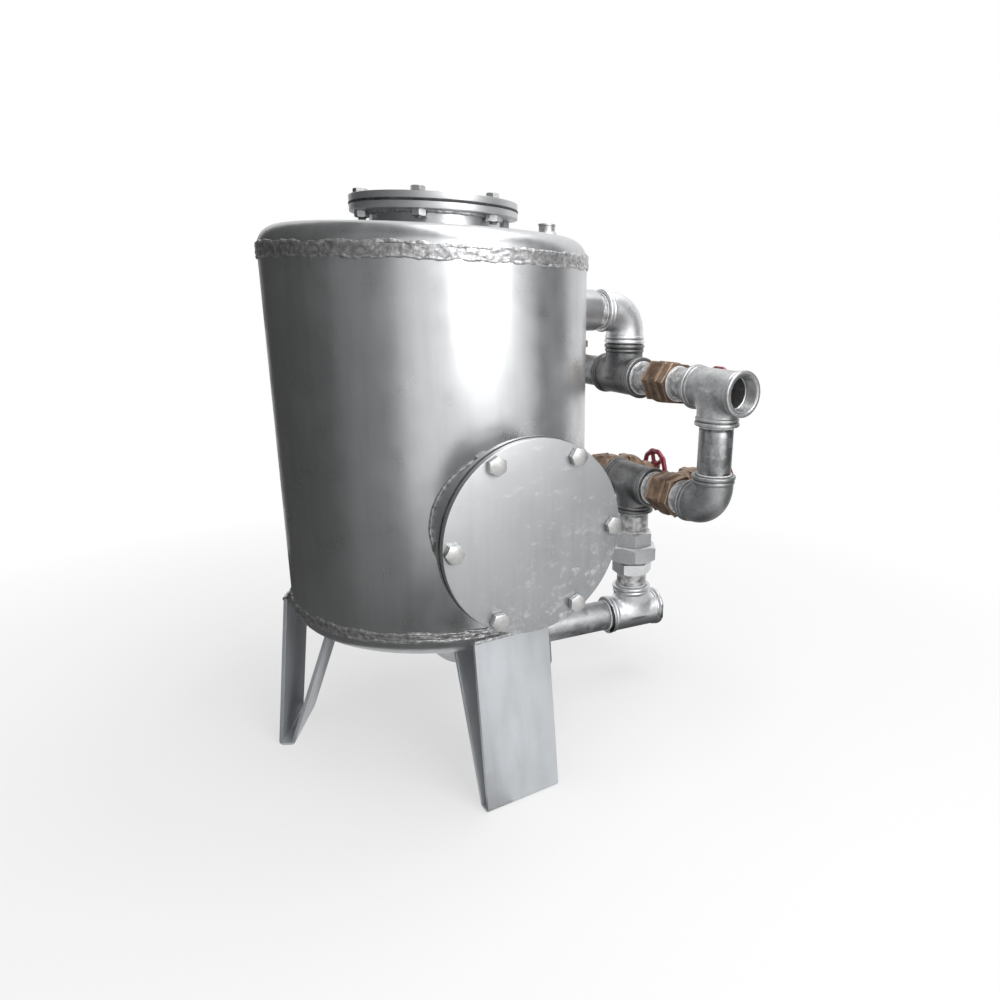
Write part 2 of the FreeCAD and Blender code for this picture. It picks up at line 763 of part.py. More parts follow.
def make_internals():
    inside = tank_radius - shell_thickness - fit_gap
    top = plate_height + plate_thickness
    plate = rod(inside, Z * plate_height, Z, plate_thickness)
    gravel = rod(inside, Z * (top + fit_gap), Z, gravel_depth)
    caps = []
    for place in strainer_places():
        plate = plate.cut(rod(strainer_stem_radius + fit_gap, place + Z * plate_height, Z, plate_thickness))
        gravel = gravel.cut(rod(strainer_cap_radius + fit_gap, place + Z * top, Z,
                                strainer_cap_height + fit_gap))
        cap = strainer()
        cap.translate(place + Z * top)
        caps.append(cap)
    sand = rod(inside, Z * (top + 2 * fit_gap + gravel_depth), Z, sand_depth)
    export("nozzle_plate", plate)
    export("strainers", group(caps))
    export("gravel_bed", gravel)
    export("sand_bed", sand)

    start = point(tank_radius - nozzle_inside + thread_grip, 0, upper_nozzle_height)
    diffuser = rod(pipe_radius, start, -X, diffuser_length)
    diffuser = diffuser.cut(rod(pipe_radius - pipe_wall, start, -X, diffuser_length - diffuser_cap))
    for index in range(diffuser_slots):
        slot = Part.makeBox(diffuser_slot_width, 2 * pipe_radius, pipe_radius)
        reach = diffuser_length - diffuser_slot_pitch * (index + 1)
        slot.translate(start + point(-reach, -pipe_radius, pipe_radius / 2))
        diffuser = diffuser.cut(slot)
    export("inlet_diffuser", diffuser)


os.makedirs("parts", exist_ok=True)
make_vessel()
make_legs()
make_manways()
make_vent()
make_fittings()
make_pipes()
make_union()
make_valves()
make_internals()
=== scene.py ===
import json
import math

import bmesh
import bpy
import numpy as np
from mathutils import Matrix, Vector


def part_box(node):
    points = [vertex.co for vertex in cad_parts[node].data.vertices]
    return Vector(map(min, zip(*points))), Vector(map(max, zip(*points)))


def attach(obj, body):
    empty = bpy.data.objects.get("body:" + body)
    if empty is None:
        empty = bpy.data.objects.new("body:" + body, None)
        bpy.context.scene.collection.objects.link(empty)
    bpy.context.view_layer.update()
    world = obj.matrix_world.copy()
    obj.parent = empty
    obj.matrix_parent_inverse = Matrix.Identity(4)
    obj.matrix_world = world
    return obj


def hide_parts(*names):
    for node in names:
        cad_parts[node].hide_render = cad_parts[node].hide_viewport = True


mm = 0.001
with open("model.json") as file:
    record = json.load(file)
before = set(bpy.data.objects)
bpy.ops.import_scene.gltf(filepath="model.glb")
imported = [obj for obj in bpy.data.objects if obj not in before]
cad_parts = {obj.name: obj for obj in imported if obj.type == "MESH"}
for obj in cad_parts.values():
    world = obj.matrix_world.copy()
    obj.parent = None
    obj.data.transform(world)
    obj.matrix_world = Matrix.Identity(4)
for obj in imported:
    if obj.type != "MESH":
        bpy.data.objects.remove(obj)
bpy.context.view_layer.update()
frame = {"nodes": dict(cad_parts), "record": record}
print("frame loaded with", len(frame["nodes"]), "nodes")

xAxis, yAxis, zAxis = np.eye(3)
slotOf = {item["node"]: item["material_slot"] for item in frame["record"]["subparts"]}


# places
def cornersOf(node):
    low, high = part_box(node)
    return np.array(low) / mm, np.array(high) / mm


def middleOf(node):
    low, high = cornersOf(node)
    return (low + high) / 2


def radiusOf(node, axis=0):
    low, high = cornersOf(node)
    return (high[axis] - low[axis]) / 2


def placing(origin, run=xAxis, stem=zAxis):
    # local X goes along run and local Z along stem
    place = np.eye(4)
    place[:3] = np.column_stack((run, np.cross(stem, run), stem, origin))
    return place


def upright(origin, stem):
    # local Z goes along stem, the turn about it doesn't matter
    run = np.cross(xAxis if abs(stem[0]) < 0.9 else yAxis, stem)
    return placing(origin, run / np.linalg.norm(run), stem)


def onTop(height, node="top_manway_cover"):
    # on the top manway's axis, looking up
    return placing(middleOf(node) * (1, 1, 0) + zAxis * height)


def onSide(depth, node="side_manway_cover"):
    # on the side manway's axis, looking out of the tank
    return placing(middleOf(node) * (0, 0, 1) + yAxis * depth, xAxis, -yAxis)


def moved(points, place):
    return np.asarray(points) @ place[:3, :3].T + place[:3, 3]


def roundTurns(steps):
    return np.arange(steps) * 2 * math.pi / steps


def around(radius, turns, height):
    # points round Z
    return np.stack(np.broadcast_arrays(radius * np.cos(turns), radius * np.sin(turns), height), axis=-1)


def circleLine(radius, height, steps=180):
    return around(radius, roundTurns(steps), height)


# meshes
def pieceName(node):
    return "".join(word.capitalize() for word in node.split("_"))


def addObject(name, data):
    item = bpy.data.objects.new(name, data)
    bpy.context.scene.collection.objects.link(item)
    return item


def tidyMesh(mesh):
    # closes seams and poles, and turns every face outwards
    work = bmesh.new()
    work.from_mesh(mesh)
    bmesh.ops.remove_doubles(work, verts=work.verts, dist=1e-6)
    bmesh.ops.dissolve_degenerate(work, edges=work.edges, dist=1e-7)
    bmesh.ops.recalc_face_normals(work, faces=work.faces)
    work.to_mesh(mesh)
    work.free()


def plainMesh(item):
    # an object's mesh with its modifiers worked in
    bpy.context.view_layer.update()
    return bpy.data.meshes.new_from_object(item.evaluated_get(bpy.context.evaluated_depsgraph_get()))


def makePiece(name, points, faces, sharp=None, place=None):
    if place is not None:
        points = moved(points, place)
    mesh = bpy.data.meshes.new(name)
    mesh.from_pydata((np.asarray(points) * mm).tolist(), [], faces)
    tidyMesh(mesh)
    mesh.shade_smooth()
    if sharp:
        mesh.set_sharp_from_angle(angle=math.radians(sharp))
    return addObject(name, mesh)


def finishPiece(piece, node=None, slot=None, looks=None, body="root"):
    # a piece that stands for a node gets the material of that node's slot, unless other looks are given, and
    # the node is hidden
    slot = slot or slotOf[node]
    piece.data.materials.clear()
    piece.data.materials.append(looks or finishes[slot])
    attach(piece, body)
    if node:
        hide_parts(node)


def addPiece(name, shape, node=None, sharp=None, place=None, **how):
    finishPiece(makePiece(name, *shape, sharp, place), node, **how)


def joined(shapes):
    # several shapes as one, each of them points and faces
    points, faces = [], []
    for shapePoints, shapeFaces in shapes:
        start = len(points)
        points.extend(np.asarray(shapePoints).tolist())
        faces.extend([corner + start for corner in face] for face in shapeFaces)
    return points, faces


def ringFaces(steps, count, closed=True):
    # faces between the points of a closed ring, count of them at each step
    faces = []
    for step in range(steps):
        near, far = step * count, (step + 1) % steps * count
        for index in range(count if closed else count - 1):
            beside = (index + 1) % count
            faces.append((near + index, far + index, far + beside, near + beside))
    return faces


def lathe(outline, steps=192):
    # turns a closed outline of (radius, height) about Z
    radius, height = np.asarray(outline, float).T
    points = around(radius, roundTurns(steps)[:, None], height)
    return points.reshape(-1, 3), ringFaces(steps, len(radius))


def section(inner, outer, low, high):
    # the outline of a ring or disc
    return [(inner, low), (outer, low), (outer, high), (inner, high)]


def rounded(corners, radius, steps=4, reachShare=0.48, straight=1.55):
    # a closed outline with its corners rounded; radius is one number, or one for each corner
    corners = np.asarray(corners, float)
    outline = []
    for index, size in enumerate(np.broadcast_to(radius, len(corners))):
        corner = corners[index]
        back, ahead = corners[index - 1] - corner, corners[(index + 1) % len(corners)] - corner
        backLength, aheadLength = np.linalg.norm(back), np.linalg.norm(ahead)
        back, ahead = back / backLength, ahead / aheadLength
        half = math.acos(np.clip(back @ ahead, -1, 1)) / 2
        if size <= 0 or half > straight:
            outline.append(corner)
            continue
        reach = min(size / max(math.tan(half), 1e-6), reachShare * backLength, reachShare * aheadLength)
        bend = reach * math.tan(half)
        pivot = corner + (back + ahead) / np.linalg.norm(back + ahead) * bend / math.sin(half)
        first, last = corner + back * reach - pivot, corner + ahead * reach - pivot
        start = math.atan2(first[1], first[0])
        sweep = (math.atan2(last[1], last[0]) - start + math.pi) % (2 * math.pi) - math.pi
        for step in range(steps + 1):
            angle = start + sweep * step / steps
            outline.append(pivot + bend * np.array((math.cos(angle), math.sin(angle))))
    return np.array(outline)


hexagon = {"coneRadius": 0.955, "coneSlope": math.tan(math.radians(30)), "edge": 0.35, "steps": 72}


def hexPiece(acrossFlats, bore, low, high, coneLow=True, coneHigh=True, turn=0.0):
    # a hexagon prism with a hole, its corners cut back by a cone at one or both ends
    turns = roundTurns(hexagon["steps"])
    toFlat = (turns + math.radians(turn)) % (math.pi / 3) - math.pi / 6
    corner = acrossFlats / 2 / np.cos(toFlat)
    coneRadius, edge = acrossFlats / 2 * hexagon["coneRadius"], hexagon["edge"]
    cone = (coneRadius, (corner - coneRadius) * hexagon["coneSlope"])
    plain = (corner - edge, edge)
    (lowRadius, lowDrop), (highRadius, highDrop) = cone if coneLow else plain, cone if coneHigh else plain
    rows = ((bore, low), (lowRadius, low), (corner, low + lowDrop),
            (corner, high - highDrop), (highRadius, high), (bore, high))
    points = np.stack([around(radius, turns, height) for radius, height in rows], axis=1)
    return points.reshape(-1, 3), ringFaces(len(turns), len(rows))


# threads
def helixWall(radius, depth, pitch, heights, threaded=1.0, steps=96):
    # rows of a wall with a screw thread where threaded says so, from 0 to 1
    turns, heights = roundTurns(steps)[:, None], np.asarray(heights, float)
    ridge = np.abs((heights / pitch - turns / (2 * math.pi)) % 1.0 * 2 - 1)
    flattened = np.clip(ridge * 1.25 - 0.1, 0, 1)
    return around(radius - depth * flattened * threaded, turns, heights)


def lined(wall, radius):
    # closes a threaded wall into a sleeve, whose other side is plain and has this radius
    plain = wall[:, [-1, 0]]
    plain[..., :2] *= (radius / np.hypot(plain[..., 0], plain[..., 1]))[..., None]
    ring = np.concatenate([wall, plain], axis=1)
    return ring.reshape(-1, 3), ringFaces(*ring.shape[:2])


def threadedRod(radius, low, high, pitch, depth, steps=28, endStep=1.0, endShare=0.82):
    # closed at both ends, the last step drawn in
    heights = np.append(np.arange(low, high - endStep, pitch / 5), [high - endStep, high])
    wall = helixWall(radius, depth, pitch, heights, steps=steps)
    wall[:, -1, :2] *= endShare
    poles = [np.zeros((steps, 1, 3)) + zAxis * height for height in (low, high)]
    ring = np.concatenate([poles[0], wall, poles[1]], axis=1)
    return ring.reshape(-1, 3), ringFaces(*ring.shape[:2], closed=False)


# castings: a solid is a distance field, and its skin is drawn over a grid of cells
def barField(sideways, lengthways, edge):
    outside = np.hypot(np.maximum(sideways, 0), np.maximum(lengthways, 0))
    return np.minimum(np.maximum(sideways, lengthways), 0) + outside - edge


def rodField(p, start, end, radius, edge=0.0):
    length = np.linalg.norm(end - start)
    offset = p - start
    height = offset @ ((end - start) / length)
    away = np.sqrt(np.maximum((offset ** 2).sum(-1) - height ** 2, 0))
    return barField(away - radius + edge, np.abs(height - length / 2) - length / 2 + edge, edge)


def hexField(p, axis, acrossFlats, low, high, edge=1.0):
    # axis 0 gives a hexagon bar along X with corners towards Z, axis 2 one along Z, corners towards X
    flat, slant = p[..., 1], p[..., 2 - axis] * (math.sqrt(3) / 2)
    flats = np.maximum(np.abs(flat), np.maximum(np.abs(flat * 0.5 - slant), np.abs(flat * 0.5 + slant)))
    lengthways = np.abs(p[..., axis] - (low + high) / 2) - (high - low) / 2 + edge
    return barField(flats - acrossFlats / 2 + edge, lengthways, edge)


def ballField(p, centre, radius):
    return np.sqrt(((p - centre) ** 2).sum(-1)) - radius


def boxField(p, low, high):
    low, high = np.asarray(low, float), np.asarray(high, float)
    gap = np.abs(p - (low + high) / 2) - (high - low) / 2
    return np.minimum(gap.max(-1), 0) + np.sqrt((np.maximum(gap, 0) ** 2).sum(-1))


def blend(first, second, width):
    share = np.clip(0.5 + 0.5 * (second - first) / width, 0, 1)
    return second * (1 - share) + first * share - width * share * (1 - share)


def cut(solid, hole, width=0.6):
    return -blend(-solid, hole, width)


def pull(field, points, probe=0.05, furthest=0.6):
    # how far each point lies off the surface, as a vector
    slope = np.stack([field(points + probe * axis) - field(points - probe * axis)
                      for axis in (xAxis, yAxis, zAxis)], axis=-1) / (2 * probe)
    size = np.maximum((slope ** 2).sum(-1), 0.2)
    return np.clip((field(points) / size)[:, None] * slope, -furthest, furthest)


def skin(field, low, high, cell):
    # one point for each cell that the surface goes through, and a face round each grid edge that it crosses
    axes = [np.arange(low[i] - cell, high[i] + 2 * cell, cell) for i in range(3)]
    value = field(np.stack(np.meshgrid(*axes, indexing="ij"), axis=-1))
    corner = {}
    for near in np.ndindex(2, 2, 2):
        corner[near] = value[tuple(slice(near[i], near[i] + value.shape[i] - 1) for i in range(3))]
    inside = sum((item < 0).astype(int) for item in corner.values())
    mixed = (inside > 0) & (inside < 8)
    number = np.full(mixed.shape, -1)
    number[mixed] = np.arange(mixed.sum())
    total = np.zeros(mixed.shape + (3,))
    crossings = np.zeros(mixed.shape)
    for near in corner:
        for axis in range(3):
            if near[axis] == 1:
                continue
            a, b = corner[near], corner[near[:axis] + (1,) + near[axis + 1:]]
            crosses = (a < 0) != (b < 0)
            share = np.where(crosses, a / np.where(crosses, a - b, 1), 0)
            for i in range(3):
                total[..., i] += np.where(crosses, near[i] + (share if i == axis else 0), 0)
            crossings += crosses
    points = total[mixed] / crossings[mixed][:, None] + np.argwhere(mixed)
    points = points * cell + np.array([line[0] for line in axes])
    faces = []
    for axis in range(3):
        a = value[tuple(slice(0, -1) if i == axis else slice(1, -1) for i in range(3))]
        b = value[tuple(slice(1, None) if i == axis else slice(1, -1) for i in range(3))]
        spots = np.argwhere((a < 0) != (b < 0))
        outward = (a < 0)[tuple(spots.T)]
        spots += [0 if i == axis else 1 for i in range(3)]
        ring = []
        for steps in ((0, -1, -1), (0, 0, -1), (0, 0, 0), (0, -1, 0)):
            ring.append(number[tuple((spots + np.roll(steps, axis)).T)])
        ring = np.stack(ring, axis=1)
        ring[~outward] = ring[~outward][:, ::-1]
        faces.append(ring)
    for _ in range(2):
        points = points - pull(field, points)
    return points, np.concatenate(faces).tolist()


# nodes
def fill(tree, node, inputs):
    # an input gets a value, a socket, or a node that stands for its first output
    for label, value in inputs.items():
        socket = node.inputs[label]
        if isinstance(value, bpy.types.Node):
            value = value.outputs[0]
        if isinstance(value, bpy.types.NodeSocket):
            tree.links.new(value, socket)
        else:
            socket.default_value = tuple(value) + (1.0,) if socket.type == "RGBA" else value


def newNode(tree, kind, inputs={}, **settings):
    node = tree.nodes.new(kind)
    for label, value in settings.items():
        setattr(node, label, value)
    fill(tree, node, inputs)
    return node


def mathNode(tree, operation, first, second):
    return newNode(tree, "ShaderNodeMath", {0: first, 1: second}, operation=operation)


def newTree(name, **inputs):
    tree = bpy.data.node_groups.new(name, "GeometryNodeTree")
    for label, kind in {"Geometry": "Geometry", **inputs}.items():
        tree.interface.new_socket(label, in_out="INPUT", socket_type="NodeSocket" + kind)
    tree.interface.new_socket("Geometry", in_out="OUTPUT", socket_type="NodeSocketGeometry")
    return tree, newNode(tree, "NodeGroupInput").outputs


def endTree(tree, shape, material):
    real = newNode(tree, "GeometryNodeRealizeInstances", {"Geometry": shape})
    painted = newNode(tree, "GeometryNodeSetMaterial", {"Geometry": real, "Material": material})
    newNode(tree, "NodeGroupOutput", {"Geometry": painted})
    return tree


def runTree(name, tree, source, values):
    # runs a tree on a mesh and gives the result as a plain mesh in a new object
    holder = addObject(name + "Holder", source)
    modifier = holder.modifiers.new("shape", "NODES")
    modifier.node_group = tree
    for item in tree.interface.items_tree:
        if item.in_out == "INPUT" and item.name in values:
            modifier[item.identifier] = values[item.name]
    mesh = plainMesh(holder)
    mesh.name = name
    bpy.data.objects.remove(holder)
    return addObject(name, mesh)


def beadTree():
    # a weld bead: a round section along a path, roughened by noise along its normals
    tree, given = newTree("weldBead", Size="Float", Spacing="Float", Roughness="Float", Grain="Float",
                          Material="Material")
    curve = newNode(tree, "GeometryNodeMeshToCurve", {"Mesh": given["Geometry"]})
    path = newNode(tree, "GeometryNodeResampleCurve", {"Curve": curve, "Length": given["Spacing"]},
                   mode="LENGTH")
    ring = newNode(tree, "GeometryNodeCurvePrimitiveCircle", {"Resolution": 14, "Radius": given["Size"]})
    sweep = newNode(tree, "GeometryNodeCurveToMesh",
                    {"Curve": path, "Profile Curve": ring, "Fill Caps": True})
    noise = newNode(tree, "ShaderNodeTexNoise", {"Scale": given["Grain"], "Detail": 2.5})
    height = mathNode(tree, "MULTIPLY", mathNode(tree, "SUBTRACT", noise, 0.5), given["Roughness"])
    normal = newNode(tree, "GeometryNodeInputNormal")
    offset = newNode(tree, "ShaderNodeVectorMath", {0: normal, "Scale": height}, operation="SCALE")
    rough = newNode(tree, "GeometryNodeSetPosition", {"Geometry": sweep, "Offset": offset})
    return endTree(tree, newNode(tree, "GeometryNodeSetShadeSmooth", {"Geometry": rough}), given["Material"])


def boltTree():
    # copies of a fastener round a circle, each turned a little by chance
    tree, given = newTree("boltCircle", Fastener="Object", Count="Int", Circle="Float", Start="Float",
                          Spread="Float", Seed="Int", Material="Material")
    circle = newNode(tree, "GeometryNodeMeshCircle", {"Vertices": given["Count"], "Radius": given["Circle"]})
    fastener = newNode(tree, "GeometryNodeObjectInfo", {"Object": given["Fastener"]}).outputs["Geometry"]
    least = mathNode(tree, "MULTIPLY", given["Spread"], -1.0)
    chance = newNode(tree, "FunctionNodeRandomValue", {2: least, 3: given["Spread"], "Seed": given["Seed"]})
    turn = newNode(tree, "ShaderNodeCombineXYZ", {"Z": chance.outputs[1]})
    first = newNode(tree, "ShaderNodeCombineXYZ", {"Z": given["Start"]})
    copies = newNode(tree, "GeometryNodeInstanceOnPoints",
                     {"Points": circle, "Instance": fastener, "Rotation": turn})
    whole = newNode(tree, "GeometryNodeTransform", {"Geometry": copies, "Rotation": first})
    return endTree(tree, whole, given["Material"])


# materials
class Finish:
    # a procedural material that is put together step by step
    def __init__(self, name):
        self.material = bpy.data.materials.new(name)
        self.material.use_nodes = True
        self.tree = self.material.node_tree
        self.shader = self.tree.nodes["Principled BSDF"]
        place = self.node("ShaderNodeTexCoord")
        self.spot, self.facing = place.outputs["Object"], place.outputs["Normal"]

    def node(self, kind, inputs={}, **settings):
        return newNode(self.tree, kind, inputs, **settings)

    def noise(self, scale, detail=4.0, stretch=(1, 1, 1), roughness=0.55):
        mapping = self.node("ShaderNodeMapping", {"Vector": self.spot, "Scale": stretch})
        return self.node("ShaderNodeTexNoise", {"Vector": mapping, "Scale": scale, "Detail": detail,
                                                "Roughness": roughness})

    def cells(self, scale):
        return self.node("ShaderNodeTexVoronoi", {"Vector": self.spot, "Scale": scale})

    def band(self, factor, low, high, lowValue=0.0, highValue=1.0):
        return self.node("ShaderNodeMapRange", {"Value": factor, "From Min": low, "From Max": high,
                                                "To Min": lowValue, "To Max": highValue})

    def ramp(self, factor, lowValue, highValue):
        return self.band(factor, 0.0, 1.0, lowValue, highValue)

    def patches(self, scale, detail, low, high, *values, **kind):
        return self.band(self.noise(scale, detail, **kind), low, high, *values)

    def edges(self, low, high):
        # 1 on outer edges and ridges, 0 on flat ground
        return self.band(self.node("ShaderNodeNewGeometry").outputs["Pointiness"], low, high)

    def along(self, source, way, low, high):
        # 0 to 1 along one direction, of the place or of the way a face looks
        reach = self.node("ShaderNodeVectorMath", {0: source, 1: way}, operation="DOT_PRODUCT")
        return self.band(reach.outputs["Value"], low, high)

    def product(self, first, second):
        return mathNode(self.tree, "MULTIPLY", first, second)

    def mix(self, factor, first, second):
        return self.node("ShaderNodeMix", {0: factor, 6: first, 7: second}, data_type="RGBA").outputs[2]

    def lay(self, tone, colour, factor, share):
        # a colour over the tone, as far as its factor and share go
        return self.mix(self.product(factor, share), tone, colour)

    def below(self, tone, colour, high, share):
        # painted shade: a darker colour where faces look down
        return self.lay(tone, colour, self.along(self.facing, (0.12, 0.0, -1.0), 0.05, high), share)

    def surface(self, colour, roughness, metallic=0.0):
        fill(self.tree, self.shader, {"Base Color": colour, "Roughness": roughness, "Metallic": metallic})

    def bump(self, height, distance, strength, **before):
        node = self.node("ShaderNodeBump",
                         {"Height": height, "Distance": distance, "Strength": strength, **before})
        fill(self.tree, self.shader, {"Normal": node})
        return node


def shade(colour, share):
    return tuple(min(1.0, share * value) for value in colour)


def silverPaint(name, pale, dark, metallic, roughness, scuffs, weather=None):
    # aluminium paint over rolled plate: cloudy tone, fine grain, runs, scuffs and dirt specks
    finish = Finish(name)
    halfway = tuple(0.6 * a + 0.4 * b for a, b in zip(pale, dark))
    tone = finish.mix(finish.patches(6.0, 3.0, 0.35, 0.65), pale, halfway)
    tone = finish.lay(tone, dark, finish.patches(9.0, 4.0, 0.45, 0.75, stretch=(6.0, 6.0, 0.5)), 0.35)
    specks = (0.85, 0.85, 0.84) if weather is None else shade(dark, 0.45)
    tone = finish.lay(tone, specks, finish.patches(420.0, 2.0, 0.70, 0.76), 0.5)
    scuff = finish.patches(38.0, 6.0, 0.60, 0.72, stretch=(1.0, 1.0, 2.5), roughness=0.7)
    tone = finish.lay(tone, (0.80, 0.80, 0.79), scuff, scuffs)
    if weather is not None:
        # painted light towards the upper left, bloomed at the lower right, dust on top
        paintedLightUpperLeft = finish.along(finish.spot, (-0.71, 0.0, 0.71), weather - 0.02, weather + 0.16)
        tone = finish.lay(tone, (0.60, 0.61, 0.62), paintedLightUpperLeft, 0.75)
        lowRight = finish.along(finish.spot, (-0.5, 0.0, 0.87), weather * 1.22, weather * 1.22 - 0.11)
        bloom = finish.product(finish.patches(70.0, 7.0, 0.53, 0.64, roughness=0.75), lowRight)
        tone = finish.lay(tone, (0.74, 0.75, 0.75), bloom, 0.55)
        dust = finish.along(finish.facing, (0.0, 0.0, 1.0), 0.8, 0.98)
        tone = finish.lay(tone, (0.62, 0.62, 0.61), dust, 0.8)
    dull = finish.patches(22.0, 5.0, 0.3, 0.7, roughness - 0.06, roughness + 0.08)
    finish.surface(tone, mathNode(finish.tree, "ADD", dull, finish.product(scuff, 0.4 * scuffs)), metallic)
    plate = finish.bump(finish.noise(11.0, 2.0), 0.0012, 0.35)
    finish.bump(finish.noise(900.0, 3.0), 0.00012, 0.5, Normal=plate)
    return finish.material


def weldMetal(name, bright, dark):
    finish = Finish(name)
    ripple = finish.patches(160.0, 5.0, 0.35, 0.68)
    tone = finish.lay(finish.mix(ripple, dark, bright), dark, finish.patches(30.0, 3.0, 0.55, 0.75), 0.4)
    finish.surface(tone, finish.ramp(ripple, 0.48, 0.26), 0.75)
    finish.bump(finish.noise(260.0, 4.0), 0.0010, 0.7)
    return finish.material


def castIron(name, pale, dark, metallic=0.85):
    # zinc coated casting: mottled tone, sand-cast grain, painted shade in the hollows, rims worn bright with
    # a painted highlight on them, painted shade on faces that look down
    finish = Finish(name)
    cloud = finish.patches(28.0, 5.0, 0.32, 0.68)
    tone = finish.mix(cloud, dark, pale)
    tone = finish.lay(tone, shade(pale, 1.35), finish.patches(190.0, 4.0, 0.40, 0.70), 0.35)
    # rims worn bright, with a painted highlight on them
    tone = finish.lay(tone, (0.74, 0.75, 0.76), finish.edges(0.52, 0.62), 0.8)
    # painted shade in the hollows
    tone = finish.mix(finish.edges(0.49, 0.44), tone, shade(dark, 0.35))
    # painted shade on faces that look down
    tone = finish.below(tone, shade(dark, 0.4), 0.85, 0.7)
    finish.surface(tone, finish.ramp(cloud, 0.50, 0.38), metallic)
    grain = finish.bump(finish.noise(55.0, 3.0), 0.0009, 0.4)
    finish.bump(finish.noise(480.0, 4.0), 0.00035, 0.55, Normal=grain)
    return finish.material


def zincPipe(name, pale, dark, rough=0.36):
    # drawn pipe with the flakes of its zinc
    finish = Finish(name)
    tone = finish.mix(finish.patches(24.0, 5.0, 0.35, 0.65), dark, pale)
    flake = finish.band(finish.cells(95.0).outputs["Color"], 0.2, 0.9)
    tone = finish.lay(tone, (0.86, 0.87, 0.88), flake, 0.25)
    finish.surface(tone, finish.ramp(flake, rough, rough + 0.12), 0.9)
    finish.bump(finish.noise(60.0, 4.0), 0.0007, 0.4)
    return finish.material


def castBrass(name, pale, dark, roughness):
    # tarnished in patches, rubbed bright on its edges with a painted highlight there, and painted shade on
    # faces that look down
    finish = Finish(name)
    tarnish = finish.patches(34.0, 5.0, 0.38, 0.66)
    tone = finish.mix(tarnish, pale, dark)
    tone = finish.lay(tone, shade(dark, 0.6), finish.patches(300.0, 3.0, 0.35, 0.7), 0.25)
    # edges rubbed bright, with a painted highlight on them
    tone = finish.lay(tone, (0.66, 0.52, 0.39), finish.edges(0.52, 0.60), 0.85)
    # painted shade on faces that look down
    tone = finish.below(tone, shade(dark, 0.35), 0.75, 0.75)
    finish.surface(tone, finish.ramp(tarnish, roughness, roughness + 0.16), 0.8)
    finish.bump(finish.noise(420.0, 4.0), 0.0003, 0.5)
    return finish.material


def wheelPaint(name, colour, worn):
    finish = Finish(name)
    cloud = finish.patches(30.0, 4.0, 0.35, 0.65)
    tone = finish.mix(cloud, colour, shade(colour, 0.72))
    tone = finish.lay(tone, worn, finish.patches(170.0, 4.0, 0.66, 0.70, roughness=0.7), 0.8)
    finish.surface(tone, finish.ramp(cloud, 0.28, 0.42))
    fill(finish.tree, finish.shader, {"Coat Weight": 0.4})
    finish.bump(finish.noise(240.0, 3.0), 0.0003, 0.5)
    return finish.material


def plainRubber(name, colour):
    finish = Finish(name)
    dust = finish.patches(120.0, 4.0, 0.45, 0.75)
    tone = finish.lay(colour, (0.16, 0.16, 0.16), dust, 0.5)
    finish.surface(tone, finish.ramp(dust, 0.55, 0.8))
    finish.bump(finish.noise(500.0, 3.0), 0.0002, 0.5)
    return finish.material


def threadTape(name, low, high):
    # white sealing paste and tape smeared over the zinc at the pipe threads
    finish = Finish(name)
    smear = finish.patches(75.0, 5.0, low, high, roughness=0.65)
    dirt = finish.patches(140.0, 5.0, 0.45, 0.72)
    metal = finish.mix(dirt, (0.46, 0.46, 0.47), (0.24, 0.24, 0.25))
    paste = finish.lay((0.78, 0.78, 0.77), (0.46, 0.46, 0.46), dirt, 0.6)
    finish.surface(finish.mix(smear, metal, paste), finish.ramp(smear, 0.36, 0.62),
                   finish.ramp(smear, 0.75, 0.05))
    finish.bump(finish.noise(380.0, 4.0), 0.0005, 0.6)
    return finish.material


def grains(name, pale, dark, scale):
    finish = Finish(name)
    cells = finish.cells(scale)
    finish.surface(finish.mix(finish.band(cells.outputs["Color"], 0.1, 0.9), pale, dark), 0.85)
    finish.bump(cells.outputs["Distance"], 0.6 / scale, 0.8)
    return finish.material


# the height level where the cover's painted light towards the upper left and its bloom at the lower right
# change over
coverWeatherAndPaintedLight = 0.71 * middleOf("side_manway_cover")[2] * mm
finishes = {
    "tank_paint": silverPaint("tankPaint", (0.60, 0.61, 0.62), (0.42, 0.43, 0.44), 0.85, 0.31, 0.05),
    "weld_bead": weldMetal("weldBead", (0.80, 0.80, 0.80), (0.30, 0.30, 0.31)),
    "leg_paint": silverPaint("legPaint", (0.585, 0.605, 0.63), (0.37, 0.383, 0.40), 0.45, 0.40, 0.18),
    "cover_paint": silverPaint("coverPaint", (0.37, 0.38, 0.39), (0.22, 0.23, 0.24), 0.70, 0.38, 0.30,
                               coverWeatherAndPaintedLight),
    "gasket_rubber": plainRubber("gasketRubber", (0.02, 0.02, 0.02)),
    "bolt_steel": castIron("boltSteel", (0.50, 0.50, 0.49), (0.30, 0.30, 0.29), 0.9),
    "fitting_iron": castIron("fittingIron", (0.36, 0.365, 0.37), (0.18, 0.183, 0.187), 0.8),
    "galvanised_iron": castIron("galvanisedIron", (0.79, 0.80, 0.82), (0.58, 0.59, 0.61), 0.92),
    "galvanised_pipe": zincPipe("galvanisedPipe", (0.31, 0.315, 0.32), (0.14, 0.143, 0.147)),
    "white_pvc": plainRubber("whitePvc", (0.82, 0.82, 0.80)),
    "strainer_plastic": plainRubber("strainerPlastic", (0.08, 0.08, 0.09)),
    "gravel": grains("gravel", (0.52, 0.48, 0.43), (0.30, 0.27, 0.24), 160.0),
    "sand": grains("sand", (0.78, 0.68, 0.50), (0.55, 0.45, 0.31), 900.0),
    "valve_brass": castBrass("valveBrass", (0.40, 0.28, 0.20), (0.14, 0.088, 0.06), 0.38),
    "stem_brass": castBrass("stemBrass", (0.75, 0.60, 0.38), (0.55, 0.42, 0.25), 0.28),
    "wheel_paint": wheelPaint("wheelPaint", (0.24, 0.004, 0.028), (0.08, 0.07, 0.07)),
}
